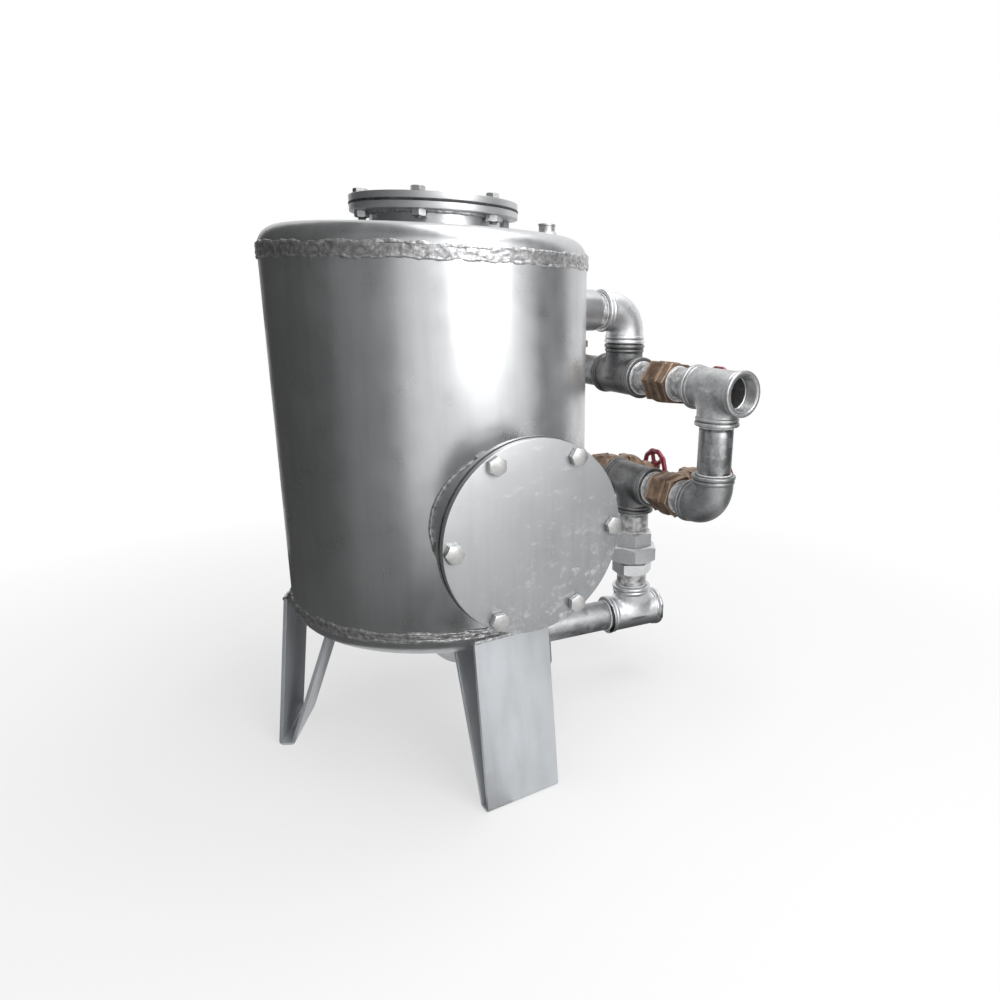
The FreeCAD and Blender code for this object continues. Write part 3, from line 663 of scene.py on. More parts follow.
sealPaste = threadTape("sealPaste", 0.25, 0.45)
tapedZinc = threadTape("tapedZinc", 0.47, 0.66)
seamMetal = weldMetal("seamMetal", (0.60, 0.60, 0.61), (0.26, 0.26, 0.265))
paleZinc = zincPipe("paleZinc", (0.40, 0.41, 0.42), (0.26, 0.265, 0.27), 0.46)
# lighter and darker copies of the fitting iron: painted light on the inlet tee and the vent socket, painted
# shade on the upper and lower tees
lightIron = castIron("lightIron", (0.58, 0.585, 0.59), (0.32, 0.324, 0.328))
darkIron = castIron("darkIron", (0.22, 0.222, 0.225), (0.10, 0.101, 0.103), 0.8)
print("materials made:", len(bpy.data.materials))

for nodeName, nodeObject in frame["nodes"].items():
    nodeObject.data.materials.clear()
    nodeObject.data.materials.append(finishes[slotOf[nodeName]])


# tank
tank = {"radius": 250.0, "wall": 6.0, "wallEdge": 0.5, "headStraight": 4.0, "knuckle": 33.0, "rise": 5.0,
        "headWall": 6.0, "steps": 288, "knuckleSteps": 14, "crownSteps": 12}
seams = {"bottom": cornersOf("tank_shell")[0][2], "top": cornersOf("tank_shell")[1][2]}


def crownHeight(distance):
    edge = tank["radius"] - tank["knuckle"]
    return tank["headStraight"] + tank["knuckle"] + tank["rise"] * (1 - (distance / edge) ** 2)


def headSide(offset):
    # the line of a dished head from its rim to its middle, this far inside the outer face
    edge, reach = tank["radius"] - tank["knuckle"], tank["knuckle"] - offset
    line = [(tank["radius"] - offset, 0.0)]
    for angle in np.arange(tank["knuckleSteps"] + 1) / tank["knuckleSteps"] * math.pi / 2:
        line.append((edge + reach * math.cos(angle), tank["headStraight"] + reach * math.sin(angle)))
    for step in range(1, tank["crownSteps"] + 1):
        distance = edge - edge * step / tank["crownSteps"]
        line.append((distance, crownHeight(distance) - offset))
    return line


def makeTank():
    radius, steps = tank["radius"], tank["steps"]
    wall = rounded(section(radius - tank["wall"], radius, seams["bottom"], seams["top"]), tank["wallEdge"])
    addPiece("TankShell", lathe(wall, steps), "tank_shell", 40)
    head = lathe(headSide(0.0) + headSide(tank["headWall"])[::-1], steps)
    addPiece("TopHead", head, "top_head", 40, placing(zAxis * seams["top"]))
    addPiece("BottomHead", head, "bottom_head", 40, placing(zAxis * seams["bottom"], xAxis, -zAxis))


# welds
bead = beadTree()
welds = {"spacing": 1.6, "grain": 110.0,
         "girthSize": 3.0, "girthRoughness": 4.6, "girthSpread": {"top": 8.0, "bottom": 5.5},
         "girthSunk": 0.75, "girthSteps": 720, "girthWander": 1.1, "girthSeed": 10,
         "bandRows": 9, "bandSunk": 1.0, "bandHeight": 1.9, "bandLeast": 0.6, "bandMost": 3.2,
         "bandCoarse": 0.45, "bandFine": 0.3, "bandSeeds": (40, 60), "waves": (5, 60),
         "jointSize": 3.6, "jointRoughness": 2.4, "jointOut": 1.0, "jointIn": 0.5,
         "drain": 32.0, "drainIn": 2.0,
         "plateSeam": 118.0, "plateSeamEnds": (8.0, 10.0), "plateSeamSteps": 60}
legWelds = {"azimuths": (-90, 30, 150), "seamOut": 4.5, "seamUp": 0.5, "armOut": -3.5, "armOutCrown": 160,
            "armIn": 8.0, "armInCrown": 170, "up": 1.0, "steps": 30}


def pathMesh(name, lines):
    # open or closed lines of points, as edges
    points, edges = [], []
    for line, closed in lines:
        start, count = len(points), len(line)
        points.extend((np.asarray(line) * mm).tolist())
        last = count if closed else count - 1
        edges.extend((start + index, start + (index + 1) % count) for index in range(last))
    mesh = bpy.data.meshes.new(name)
    mesh.from_pydata(points, edges, [])
    return mesh


def addBead(name, lines, size, roughness, node=None, looks=None, grain=welds["grain"]):
    looks = looks or finishes["weld_bead"]
    values = {"Size": size * mm, "Spacing": welds["spacing"] * mm, "Roughness": roughness * mm,
              "Grain": grain, "Material": looks}
    finishPiece(runTree(name, bead, pathMesh(name, lines), values), node, "weld_bead", looks)


def saddleLine(radius, height, steps=120):
    # where a round neck of this radius meets the shell, round +X
    turns = roundTurns(steps)
    across = radius * np.cos(turns)
    outward = np.sqrt(tank["radius"] ** 2 - across ** 2)
    return np.stack([outward, across, height + radius * np.sin(turns)], axis=1)


def legLines():
    # along the head of each leg: under the bottom seam, and both sides of the inner arm
    low, high = cornersOf("leg_front")
    half = (high[0] - low[0]) / 2
    spots = [(tank["radius"] + legWelds["seamOut"], high[2] + legWelds["seamUp"])]
    for side in ("armOut", "armIn"):
        crown = crownHeight(legWelds[side + "Crown"])
        spots.append((-high[1] + legWelds[side], seams["bottom"] - crown + legWelds["up"]))
    lines = []
    for azimuth in legWelds["azimuths"]:
        out = np.array((math.cos(math.radians(azimuth)), math.sin(math.radians(azimuth)), 0))
        along = np.array((-out[1], out[0], 0))
        for radius, height in spots:
            shares = np.linspace(-1, 1, legWelds["steps"])
            lines.append(([out * radius + along * half * share + zAxis * height for share in shares], False))
    return lines


def wander(turns, amount, seed):
    # a smooth closed wave of chance round the tank
    chance = np.random.default_rng(seed)
    total = np.zeros(len(turns))
    for wave in range(*welds["waves"]):
        size, phase = chance.normal(), chance.uniform(0, 2 * math.pi)
        total += size / math.sqrt(wave) * np.sin(wave * turns + phase)
    return amount * total / total.std()


def lumpyBand(height, spread):
    # the rough strip between the two beads of a seam
    turns, rows = roundTurns(welds["girthSteps"]), range(welds["bandRows"])
    coarse, fine = welds["bandSeeds"]
    lumps = [wander(turns, welds["bandCoarse"], coarse + row // 2)
             + wander(turns * 3, welds["bandFine"], fine + row) for row in rows]
    proud = np.clip(welds["bandHeight"] + np.array(lumps), welds["bandLeast"], welds["bandMost"])
    back = np.full((1, len(turns)), -welds["bandSunk"])
    radius = tank["radius"] + np.concatenate([back, proud, back]).T
    levels = height + np.array([-spread, *np.linspace(-spread, spread, len(rows)), spread])
    return around(radius, turns[:, None], levels).reshape(-1, 3), ringFaces(*radius.shape)


def makeWelds():
    turns = roundTurns(welds["girthSteps"])
    lines, bands = [], []
    for index, (seam, height) in enumerate(seams.items()):
        spread = welds["girthSpread"][seam]
        for side in (-1, 1):
            line = circleLine(tank["radius"] - welds["girthSunk"], height + side * spread, len(turns))
            line[:, 2] += wander(turns, welds["girthWander"], welds["girthSeed"] + 2 * index + side)
            lines.append((line, True))
        bands.append(lumpyBand(height, spread))
    addBead("GirthWelds", lines, welds["girthSize"], welds["girthRoughness"], "girth_welds")
    addPiece("GirthBands", joined(bands), sharp=60, slot="weld_bead", looks=seamMetal)

    out, into, bottom = welds["jointOut"], welds["jointIn"], seams["bottom"]
    top, side, drain = radiusOf("top_manway_neck"), radiusOf("side_manway_neck"), welds["drain"]
    onCrown = onTop(seams["top"] + crownHeight(top) + out, "top_manway_neck")
    sideways = placing(np.zeros(3), -yAxis)
    underFlange = onTop(cornersOf("top_manway_flange")[0][2], "top_manway_neck")
    behindFlange = onSide(cornersOf("side_manway_flange")[1][1], "side_manway_neck")
    rings = [moved(circleLine(top + out, 0.0), onCrown),
             moved(saddleLine(side + out, middleOf("side_manway_neck")[2]), sideways),
             saddleLine(radiusOf("upper_nozzle", 1), middleOf("upper_nozzle")[2]),
             circleLine(drain, bottom - crownHeight(drain - welds["drainIn"]) - into),
             moved(circleLine(top + out, -into), underFlange),
             moved(circleLine(side, -into, 120), behindFlange)]
    low, high = bottom + welds["plateSeamEnds"][0], seams["top"] - welds["plateSeamEnds"][1]
    heights = np.linspace(low, high, welds["plateSeamSteps"])
    plateSeam = around(tank["radius"], math.radians(welds["plateSeam"]), heights)
    addBead("JointWelds", [(ring, True) for ring in rings] + [(plateSeam, False)] + legLines(),
            welds["jointSize"], welds["jointRoughness"])


# manways
manway = {"edge": 0.9, "gasketProud": 0.8, "gasketEdge": 0.8, "neckWall": 6.0, "neckBack": 2.0, "steps": 256}


def makeManways():
    # top parts start at their low end and look up, side parts start at the end next to the tank
    edge, wall = manway["edge"], manway["neckWall"]
    sides = (("Top", 2, 0, onTop), ("Side", 1, 1, onSide))
    flangeTop = cornersOf("top_manway_flange")[1][2]
    gaskets, necks = [], []
    for name, axis, start, placed in sides:
        node = name.lower() + "_manway_"
        neck, flange = cornersOf(node + "neck"), cornersOf(node + "flange")
        bore = radiusOf(node + "neck")
        for part, hole in (("flange", bore), ("cover", 0.0)):
            low, high = cornersOf(node + part)
            outline = section(hole, radiusOf(node + part, 0 if axis == 2 else 2), 0, high[axis] - low[axis])
            inner = edge if hole else 0
            shape = lathe(rounded(outline, [inner, edge, edge, inner]), manway["steps"])
            addPiece(name + part.capitalize(), shape, node + part, 40, placed((low, high)[start][axis]))
        outline = section(bore, radiusOf(node + "cover") + manway["gasketProud"], 0,
                          cornersOf("top_manway_cover")[0][2] - flangeTop)
        points, faces = lathe(rounded(outline, manway["gasketEdge"]), manway["steps"])
        gaskets.append((moved(points, placed(flange[1 - start][axis])), faces))
        length = flangeTop - manway["neckBack"] - neck[0][2] if name == "Top" else neck[1][1] - neck[0][1]
        necks.append((name + "Neck", lathe(section(bore - wall, bore, 0, length)), node + "neck", 40,
                      placed(neck[start][axis])))
    addPiece("ManwayGaskets", joined(gaskets), "manway_gaskets", 50)
    for neck in necks:
        addPiece(*neck)


# bolts
bolts = {"grip": 23.0, "count": 6, "spread": 0.5, "washer": 1.2, "washerShare": 0.48, "headGap": 0.8,
         "shankIn": 0.5, "nutThread": 0.6,
         "top": {"shank": 6.0, "pitch": 1.75, "depth": 0.7, "flats": 19.0, "head": 7.5, "nut": 10.0,
                 "past": 3.0, "circle": 113.0, "first": -125.0, "seed": 3},
         "side": {"shank": 8.0, "pitch": 2.0, "depth": 0.9, "flats": 24.0, "head": 10.0, "nut": 13.0,
                  "past": 4.0, "circle": 127.5, "first": 0.0, "seed": 8}}
circleTree = boltTree()


def fastenerCircle(name, shape, size, place, seed):
    single = makePiece(name + "Single", *shape, 35)
    ring = runTree(name, circleTree, bpy.data.meshes.new(name), {
        "Fastener": single, "Count": bolts["count"], "Circle": size["circle"] * mm,
        "Start": math.radians(size["first"]), "Spread": bolts["spread"], "Seed": seed,
        "Material": finishes["bolt_steel"]})
    turn = Matrix(place.tolist())
    turn.translation = Vector(place[:3, 3]) * mm
    ring.data.transform(turn)
    bpy.data.objects.remove(single)
    return ring


def makeBolts():
    grip = bolts["grip"]
    heads, nuts = [], []
    for name, place in (("top", onTop(cornersOf("top_manway_flange")[0][2])),
                        ("side", onSide(cornersOf("side_manway_flange")[1][1]))):
        size = bolts[name]
        flats, shank = size["flats"], size["shank"]
        head = hexPiece(flats, 0.0, grip + bolts["headGap"], grip + size["head"], False)
        washer = lathe(section(0, flats * bolts["washerShare"], grip, grip + bolts["washer"]), 48)
        low, high = -size["nut"] - size["past"], grip + bolts["shankIn"]
        rod = threadedRod(shank, low, high, size["pitch"], size["depth"])
        nut = hexPiece(flats, shank - bolts["nutThread"], -size["nut"], 0.0)
        heads.append(fastenerCircle("Bolts" + name, joined([head, washer, rod]), size, place, size["seed"]))
        nuts.append(fastenerCircle("Nuts" + name, nut, size, place, size["seed"] + 1))
    for node, parts in (("manway_bolts", heads), ("manway_nuts", nuts)):
        with bpy.context.temp_override(active_object=parts[0], selected_editable_objects=parts):
            bpy.ops.object.join()
        parts[0].name = parts[0].data.name = pieceName(node)
        finishPiece(parts[0], node)


# vent socket
vent = {"azimuth": -41.0, "distance": 188.0, "radius": 12.5, "bore": 9.3, "height": 18.0, "inside": 14.0,
        "lip": 0.9, "lipHeight": 3.0, "lipSlope": 0.5, "weldRadius": 27.0, "weldHeight": 8.0, "weldIn": 0.5,
        "weldBelow": 2.5, "weldFoot": 3.5, "weldSteps": 12, "weldCurve": 2.2}


def makeVent():
    azimuth, distance = math.radians(vent["azimuth"]), vent["distance"]
    place = placing(around(distance, azimuth, seams["top"] + crownHeight(distance)))
    bore, radius, height, lip = vent["bore"], vent["radius"], vent["height"], vent["radius"] + vent["lip"]
    lipLow = height - vent["lipHeight"]
    socket = rounded([(bore, -vent["inside"]), (radius, -vent["inside"]), (radius, lipLow - vent["lipSlope"]),
                      (lip, lipLow), (lip, height), (bore, height)], [0, 0, 0.4, 0.5, 0.9, 0.7])
    foot, wall = vent["weldRadius"], radius - vent["weldIn"]
    mound = []
    for share in np.arange(vent["weldSteps"] + 1) / vent["weldSteps"]:
        rise = (vent["weldHeight"] + vent["weldBelow"]) * share ** vent["weldCurve"]
        mound.append((foot + (wall - foot) * share, rise - vent["weldBelow"]))
    mound += [(wall, -vent["weldFoot"]), (foot, -vent["weldFoot"])]
    addPiece("VentSocket", joined([lathe(socket, 96), lathe(mound, 96)]), "vent_socket", 45, place,
             looks=lightIron)


# legs
leg = {"edge": 0.9, "edgeSteps": 2, "edgeAngle": 50}


def makeLegs():
    # the folded strips from the frame, with their cut edges softened
    for node in ("leg_front", "leg_rear_left", "leg_rear_right"):
        mesh = frame["nodes"][node].data.copy()
        tidyMesh(mesh)
        piece = addObject(pieceName(node), mesh)
        bevel = piece.modifiers.new("edge", "BEVEL")
        bevel.width = leg["edge"] * mm
        bevel.segments = leg["edgeSteps"]
        bevel.angle_limit = math.radians(leg["edgeAngle"])
        mesh = plainMesh(piece)
        piece.modifiers.clear()
        piece.data = mesh
        mesh.shade_smooth()
        mesh.set_sharp_from_angle(angle=math.radians(40))
        finishPiece(piece, node)


# threaded fittings
fitting = {"reach": 60.0, "body": 36.0, "band": 39.0, "bandWidth": 7.0, "bandEdge": 2.2, "groove": 1.8,
           "ring": 37.9, "ringWidth": 5.5, "ringEdge": 1.9, "ringFillet": 1.4, "bore": 27.0, "socket": 30.4,
           "openDepth": 24.0, "shutDepth": 7.0, "chamfer": 1.8, "chamferDepth": 1.6, "past": 3.0,
           "bend": 40.0, "fillet": 9.0, "cell": 1.5}
portThread = {"radius": 30.35, "lining": 0.4, "depth": 1.15, "pitch": 2.309, "inside": 22.0, "length": 21.0,
              "steps": 120}
centres = {}  # of what the pipes join, filled as it is made


def armField(p, way):
    # the band at an arm's mouth, and the ring behind it
    bandStart = fitting["reach"] - fitting["bandWidth"]
    ringEnd = bandStart - fitting["groove"]
    ringStart = ringEnd - fitting["ringWidth"]
    collar = rodField(p, way * bandStart, way * fitting["reach"], fitting["band"], fitting["bandEdge"])
    ring = rodField(p, way * ringStart, way * ringEnd, fitting["ring"], fitting["ringEdge"])
    return np.minimum(collar, ring)


def cutPort(body, p, way, opened=False):
    reach, end = fitting["reach"], way * (fitting["reach"] + fitting["past"])
    depth = fitting["openDepth"] if opened else fitting["shutDepth"]
    body = cut(body, rodField(p, way * (reach - depth), end, fitting["socket"]))
    wide = fitting["socket"] + fitting["chamfer"]
    chamfer = rodField(p, way * (reach - fitting["chamferDepth"]), end, wide)
    return cut(body, chamfer, 1.2)


def teeField(run, branch, opened):
    def field(p):
        reach, past = fitting["reach"], fitting["reach"] + fitting["past"]
        body = rodField(p, -run * (reach - 1), run * (reach - 1), fitting["body"])
        arm = rodField(p, branch * 0.0, branch * (reach - 1), fitting["body"])
        body = blend(body, arm, fitting["fillet"])
        for way in (run, -run, branch):
            body = blend(body, armField(p, way), fitting["ringFillet"])
        if opened:
            body = cut(body, rodField(p, -run * (reach - 2), run * past, fitting["bore"]))
            body = cut(body, rodField(p, branch * 0.0, branch * (reach - 2), fitting["bore"]))
        body = cutPort(body, p, run, opened)
        return cutPort(cutPort(body, p, -run), p, branch)
    return field


def elbowField(first, second):
    def field(p):
        bend = fitting["bend"]
        along, across, beside = p @ first, p @ second, p @ np.cross(first, second)
        arc = np.hypot(np.hypot(along - bend, across - bend) - bend, beside) - fitting["body"]
        body = np.maximum(arc, np.maximum(along - bend - 1, across - bend - 1))
        for way in (first, second):
            arm = rodField(p, way * (bend - 2), way * (fitting["reach"] - 1), fitting["body"])
            body = blend(np.minimum(body, arm), armField(p, way), fitting["ringFillet"])
        return cutPort(cutPort(body, p, first), p, second)
    return field


def fittingCentre(node, ways):
    # the crossing of a fitting's arms, from its box: bands reach as far as the arms are long
    low, high = cornersOf(node)
    centre = (low + high) / 2
    for axis in range(3):
        signs = {round(way[axis]) for way in ways} - {0}
        if signs == {1}:
            centre[axis] = high[axis] - fitting["reach"]
        if signs == {-1}:
            centre[axis] = low[axis] + fitting["reach"]
    return centre


def castPiece(node, field, ways):
    # the upper and lower tees get the painted shade copy of the fitting iron, the inlet tee the painted light
    # copy
    looks = {"upper_tee": darkIron, "lower_tee": darkIron, "inlet_tee": lightIron}.get(node)
    if node not in centres:
        centres[node] = fittingCentre(node, ways)
    side = np.full((1, 3), fitting["band"] + 2)
    ends = np.array(ways) * (fitting["reach"] + 1)
    low, high = np.concatenate([-side, ends]).min(0), np.concatenate([side, ends]).max(0)
    points, faces = skin(field, low, high, fitting["cell"])
    addPiece(pieceName(node), (points + centres[node], faces), node, looks=looks)


def makeFittings():
    centres["bottom_elbow"] = fittingCentre("bottom_elbow", [zAxis]) * zAxis
    centres["bottom_tee"] = fittingCentre("bottom_tee", [zAxis])
    run = centres["bottom_tee"] - centres["bottom_elbow"]
    run /= np.linalg.norm(run)
    for node, way, branch, opened in (("upper_tee", yAxis, zAxis, False), ("inlet_tee", -yAxis, -zAxis, True),
                                      ("lower_tee", yAxis, -zAxis, False), ("bottom_tee", run, zAxis, True)):
        castPiece(node, teeField(way, branch, opened), (way, -way, branch))
    for node, first, second in (("upper_elbow", -xAxis, -zAxis), ("lower_elbow", zAxis, yAxis),
                                ("bottom_elbow", run, zAxis)):
        castPiece(node, elbowField(first, second), (first, second))
    sleeves = []
    for node, way in (("inlet_tee", -yAxis), ("bottom_tee", run)):
        heights = np.arange(0.0, portThread["length"], portThread["pitch"] / 6)
        wall = helixWall(portThread["radius"], portThread["depth"], portThread["pitch"], heights,
                         steps=portThread["steps"])
        points, faces = lined(wall, portThread["radius"] + portThread["lining"])
        mouth = centres[node] + way * (fitting["reach"] - portThread["inside"])
        sleeves.append((moved(points, upright(mouth, way)), faces))
    addPiece("PortThreads", joined(sleeves), sharp=30, slot="fitting_iron")
    return run


# gate valves
valve = {"half": 30.0, "flats": 67.0, "endWidth": 21.0, "belly": 41.0, "bellyFlats": 74.0,
         "bellyFillet": 1.5, "ridgeFlats": 70.5, "ridgeWidth": 3.0, "ridgeEdge": 1.1, "ridgeFillet": 0.7,
         "neck": 33.0, "neckHalf": 28.0, "neckTop": 42.0, "neckEdge": 0.8, "neckFillet": 2.5, "bore": 25.0,
         "socket": 30.4, "socketDepth": 16.0, "gateSlot": 10.6, "gateRadius": 26.8,
         "box": ((-31, -43, -44), (31, 43, 44)), "past": 3.0, "cutFillet": 0.3, "cell": 1.2}
bonnet = {"flats": 66.0, "hexHeight": 14.0, "hexEdge": 1.2, "dome": 33.0, "domeInside": 29.0,
          "domeFillet": 2.0, "throat": 15.0, "throatEdge": 0.8, "throatFillet": 7.0, "rim": 16.6,
          "rimHeight": 4.0, "rimEdge": 1.0, "top": 95.3, "collarHole": 10.6, "collarBase": 90.0,
          "stemHole": 6.6, "cavity": 9.8, "cavityTop": 86.8, "glandFlats": 27.0, "glandBore": 6.2,
          "glandHeight": 13.0, "box": ((-39, -39, 41), (39, 39, 97))}
wheel = {"height": 120.0, "hub": 12.0, "hubHeight": 12.0, "hubEdge": 1.6, "hubFillet": 4.0, "rim": 34.2,
         "thick": 5.6, "tall": 5.0, "spokes": 5, "spoke": 5.2, "spokeFlat": 1.25, "spokeFillet": 3.5,
         "lobes": 10, "lobeDepth": 1.5, "hole": 6.3, "holeFillet": 0.5,
         "box": ((-41, -41, -1), (41, 41, 13)), "cell": 1.0}
spindle = {"foot": 25.0, "shaft": 5.9, "collar": 9.9, "collarLow": 90.6, "collarHigh": 95.0, "upper": 5.98,
           "shoulder": 132.0, "nutFlats": 13.0, "nutBore": 4.2, "nutHigh": 137.0, "tip": 4.9,
           "tipLow": 131.0, "tipHigh": 136.6, "pitch": 1.5, "depth": 0.6}


def valveBodyField(p):
    half, inner, width = valve["half"], valve["half"] - valve["endWidth"], valve["ridgeWidth"]
    belly = hexField(p, 0, valve["bellyFlats"], -inner - 1, inner + 1)
    belly = np.maximum(belly, ballField(p, (0, 0, 0), valve["belly"]))
    body = blend(hexField(p, 0, valve["flats"], -half, half), belly, valve["bellyFillet"])
    for low in (-half, -inner - width, inner, half - width):
        ridge = hexField(p, 0, valve["ridgeFlats"], low, low + width, valve["ridgeEdge"])
        body = blend(body, ridge, valve["ridgeFillet"])
    neck = rodField(p, zAxis * 5, zAxis * valve["neckTop"], valve["neck"], valve["neckEdge"])
    body = blend(body, np.maximum(neck, np.abs(p[..., 0]) - valve["neckHalf"]), valve["neckFillet"])
    end = xAxis * (half + valve["past"])
    body = cut(body, rodField(p, -end, end, valve["bore"]))
    for side in (-1, 1):
        depth = xAxis * side * (half - valve["socketDepth"])
        body = cut(body, rodField(p, depth, end * side, valve["socket"]))
    slot, radius = valve["gateSlot"], valve["gateRadius"]
    gate = boxField(p, (-slot, -radius, 0), (slot, radius, valve["neckTop"] + valve["past"]))
    return cut(body, np.minimum(rodField(p, -xAxis * slot, xAxis * slot, radius), gate), valve["cutFillet"])


def bonnetField(p):
    base, top, centre = valve["neckTop"], bonnet["top"], valve["neckTop"] + bonnet["hexHeight"]
    past = top + valve["past"]
    dome = np.maximum(ballField(p, (0, 0, centre), bonnet["dome"]), base + 2 - p[..., 2])
    body = hexField(p, 2, bonnet["flats"], base, centre, bonnet["hexEdge"])
    body = blend(body, dome, bonnet["domeFillet"])
    throat = rodField(p, zAxis * centre, zAxis * top, bonnet["throat"], bonnet["throatEdge"])
    body = blend(body, throat, bonnet["throatFillet"])
    rim = rodField(p, zAxis * (top - bonnet["rimHeight"]), zAxis * top, bonnet["rim"], bonnet["rimEdge"])
    body = blend(body, rim, bonnet["rimEdge"])
    inside = np.maximum(ballField(p, (0, 0, centre), bonnet["domeInside"]), centre - 0.5 - p[..., 2])
    for low, high, radius in ((base - valve["past"], centre, bonnet["domeInside"]),
                              (base, bonnet["cavityTop"], bonnet["cavity"]), (base, past, bonnet["stemHole"]),
                              (bonnet["collarBase"], past, bonnet["collarHole"])):
        inside = np.minimum(inside, rodField(p, zAxis * low, zAxis * high, radius))
    return cut(body, inside, valve["cutFillet"])


def wheelField(p):
    middle, flat = wheel["hubHeight"] / 2, wheel["spokeFlat"]
    angle = np.arctan2(p[..., 1], p[..., 0])
    rim = wheel["rim"] - wheel["lobeDepth"] * 0.5 * (1 - np.cos(angle * wheel["lobes"]))
    sideways = (np.hypot(p[..., 0], p[..., 1]) - rim) / wheel["thick"]
    body = (np.hypot(sideways, (p[..., 2] - middle) / wheel["tall"]) - 1) * wheel["thick"]
    hub = rodField(p, zAxis * 0.0, zAxis * wheel["hubHeight"], wheel["hub"], wheel["hubEdge"])
    for turn in roundTurns(wheel["spokes"]):
        start = zAxis * middle * flat
        end = around(wheel["rim"], turn, 0.0) + start
        spoke = rodField(p * np.array((1, 1, flat)), start, end, wheel["spoke"], 1.0)
        hub = blend(hub, spoke, wheel["spokeFillet"])
    hole = rodField(p, -zAxis * 3, zAxis * (wheel["hubHeight"] + 3), wheel["hole"])
    return cut(blend(body, hub, wheel["hubFillet"]), hole, wheel["holeFillet"])


def spindleShape():
    # plain shaft, thrust collar, threaded tip, and the nut over the wheel
    low, high, shoulder = spindle["collarLow"], spindle["collarHigh"], spindle["shoulder"]
    shaft = rounded([(0, spindle["foot"]), (spindle["shaft"], spindle["foot"]), (spindle["shaft"], low),
                     (spindle["collar"], low), (spindle["collar"], high), (spindle["upper"], high),
                     (spindle["upper"], shoulder), (0, shoulder)], [0, 0.8, 0.3, 0.3, 0.3, 0.3, 0.4, 0])
    nut = hexPiece(spindle["nutFlats"], spindle["nutBore"], shoulder, spindle["nutHigh"], False)
    tip = threadedRod(spindle["tip"], spindle["tipLow"], spindle["tipHigh"], spindle["pitch"],
                      spindle["depth"])
    return joined([lathe(shaft, 48), nut, tip])


def makeValves():
    points, faces = skin(wheelField, *wheel["box"], wheel["cell"])
    shapes = {"body": skin(valveBodyField, *valve["box"], valve["cell"]),
              "bonnet": skin(bonnetField, *bonnet["box"], valve["cell"]),
              "handwheel": (points + zAxis * wheel["height"], faces), "stem": spindleShape()}
    gland = hexPiece(bonnet["glandFlats"], bonnet["glandBore"], bonnet["top"],
                     bonnet["top"] + bonnet["glandHeight"], False)
    glands = []
    for joint in frame["record"]["behaviour"]["joints"]:
        if not joint["child"].endswith("_spindle"):
            continue
        name = joint["child"].replace("_spindle", "")
        centres[name] = np.array(joint["pos_m"], float) / mm
        place = placing(centres[name], yAxis, np.array(joint["axis"], float))
        for part, title, sharp, body in (("body", "Body", None, "root"), ("bonnet", "Bonnet", None, "root"),
                                         ("handwheel", "Wheel", None, joint["child"]),
                                         ("stem", "Stem", 35, joint["child"])):
            addPiece(pieceName(name) + title, shapes[part], name + "_" + part, sharp, place, body=body)
        glands.append((moved(gland[0], place), gland[1]))
    addPiece("GlandNuts", joined(glands), "gland_nuts", 35)


# union
union = {"tailFlats": 70.0, "nutFlats": 88.0, "lowerTurn": 30.0, "gap": 0.3}


def makeUnion():
    # three hexagons on one axis
    tails, nut, bore = union["tailFlats"], cornersOf("union_nut"), fitting["socket"]
    upper, (lowerLow, lowerHigh) = cornersOf("union_upper_tail")[1], cornersOf("union_lower_tail")
    centre = middleOf("union_nut") * (1, 1, 0)
    turn = union["lowerTurn"]
    shapes = {"union_upper_tail": hexPiece(tails, bore, nut[1][2] + union["gap"], upper[2], False),
              "union_nut": hexPiece(union["nutFlats"], bore, nut[0][2], nut[1][2]),
              "union_lower_tail": hexPiece(tails, bore, lowerLow[2], lowerHigh[2], True, False, turn)}
    for node, shape in shapes.items():
        addPiece(pieceName(node), shape, node, 25, placing(centre))
    centres["union_upper_tail"] = centre + zAxis * upper[2]
    centres["union_lower_tail"] = centre + zAxis * lowerLow[2]


# pipes
pipe = {"outer": 30.15, "bore": 26.25, "seen": 9.0, "fade": 3.0, "depth": 0.9, "pitch": 2.309,
        "nozzle": 37.0, "shortest": 6.0,
        "sealOut": 0.3, "sealUp": 1.2, "sealSize": 1.5, "sealRoughness": 1.6, "sealGrain": 260.0,
        # how far each kind of end lies from its centre, and how far a pipe goes in
        "ends": {"tee": (fitting["reach"], 20.0), "elbow": (fitting["reach"], 20.0), "nozzle": (0.0, 20.0),
                 "valve": (valve["half"], 15.0), "tail": (0.0, 15.0)}}
pipeRuns = {
    "down_pipe": (("inlet_tee", -zAxis, "lower_elbow"),),
    "bottom_pipe": (("bottom_elbow", None, "bottom_tee"),),
    "waste_pipe": (("upper_tee", yAxis, "waste_valve"),),
    "pipe_nipples": (("upper_nozzle", xAxis, "upper_elbow"), ("upper_elbow", -zAxis, "upper_tee"),
                     ("upper_tee", -yAxis, "inlet_valve"), ("inlet_valve", -yAxis, "inlet_tee"),
                     ("lower_tee", -yAxis, "backwash_valve"), ("backwash_valve", -yAxis, "lower_elbow"),
                     ("lower_tee", -zAxis, "union_upper_tail"), ("union_lower_tail", -zAxis, "bottom_tee"),
                     ("lower_tee", yAxis, "service_valve"))}


def between(start, way, length, gripStart, gripEnd):
    # a pipe that shows its threads next to the faces that it screws into
    seen, stretches = pipe["seen"], [(-1.0, length + 1)]
    if length > 2 * seen + 4:
        stretches = [(-1.0, seen), (length - seen, length + 1)]
    fine = [height for low, high in stretches for height in np.arange(low, high, pipe["pitch"] / 6)]
    heights = np.array(sorted({-gripStart, -1.5, *fine, length + 1.5, length + gripEnd}))
    threaded = np.clip((seen - np.minimum(heights, length - heights)) / pipe["fade"], 0, 1)
    wall = helixWall(pipe["outer"], pipe["depth"], pipe["pitch"], heights, threaded)
    points, faces = lined(wall, pipe["bore"])
    return moved(points, upright(start, way)), faces


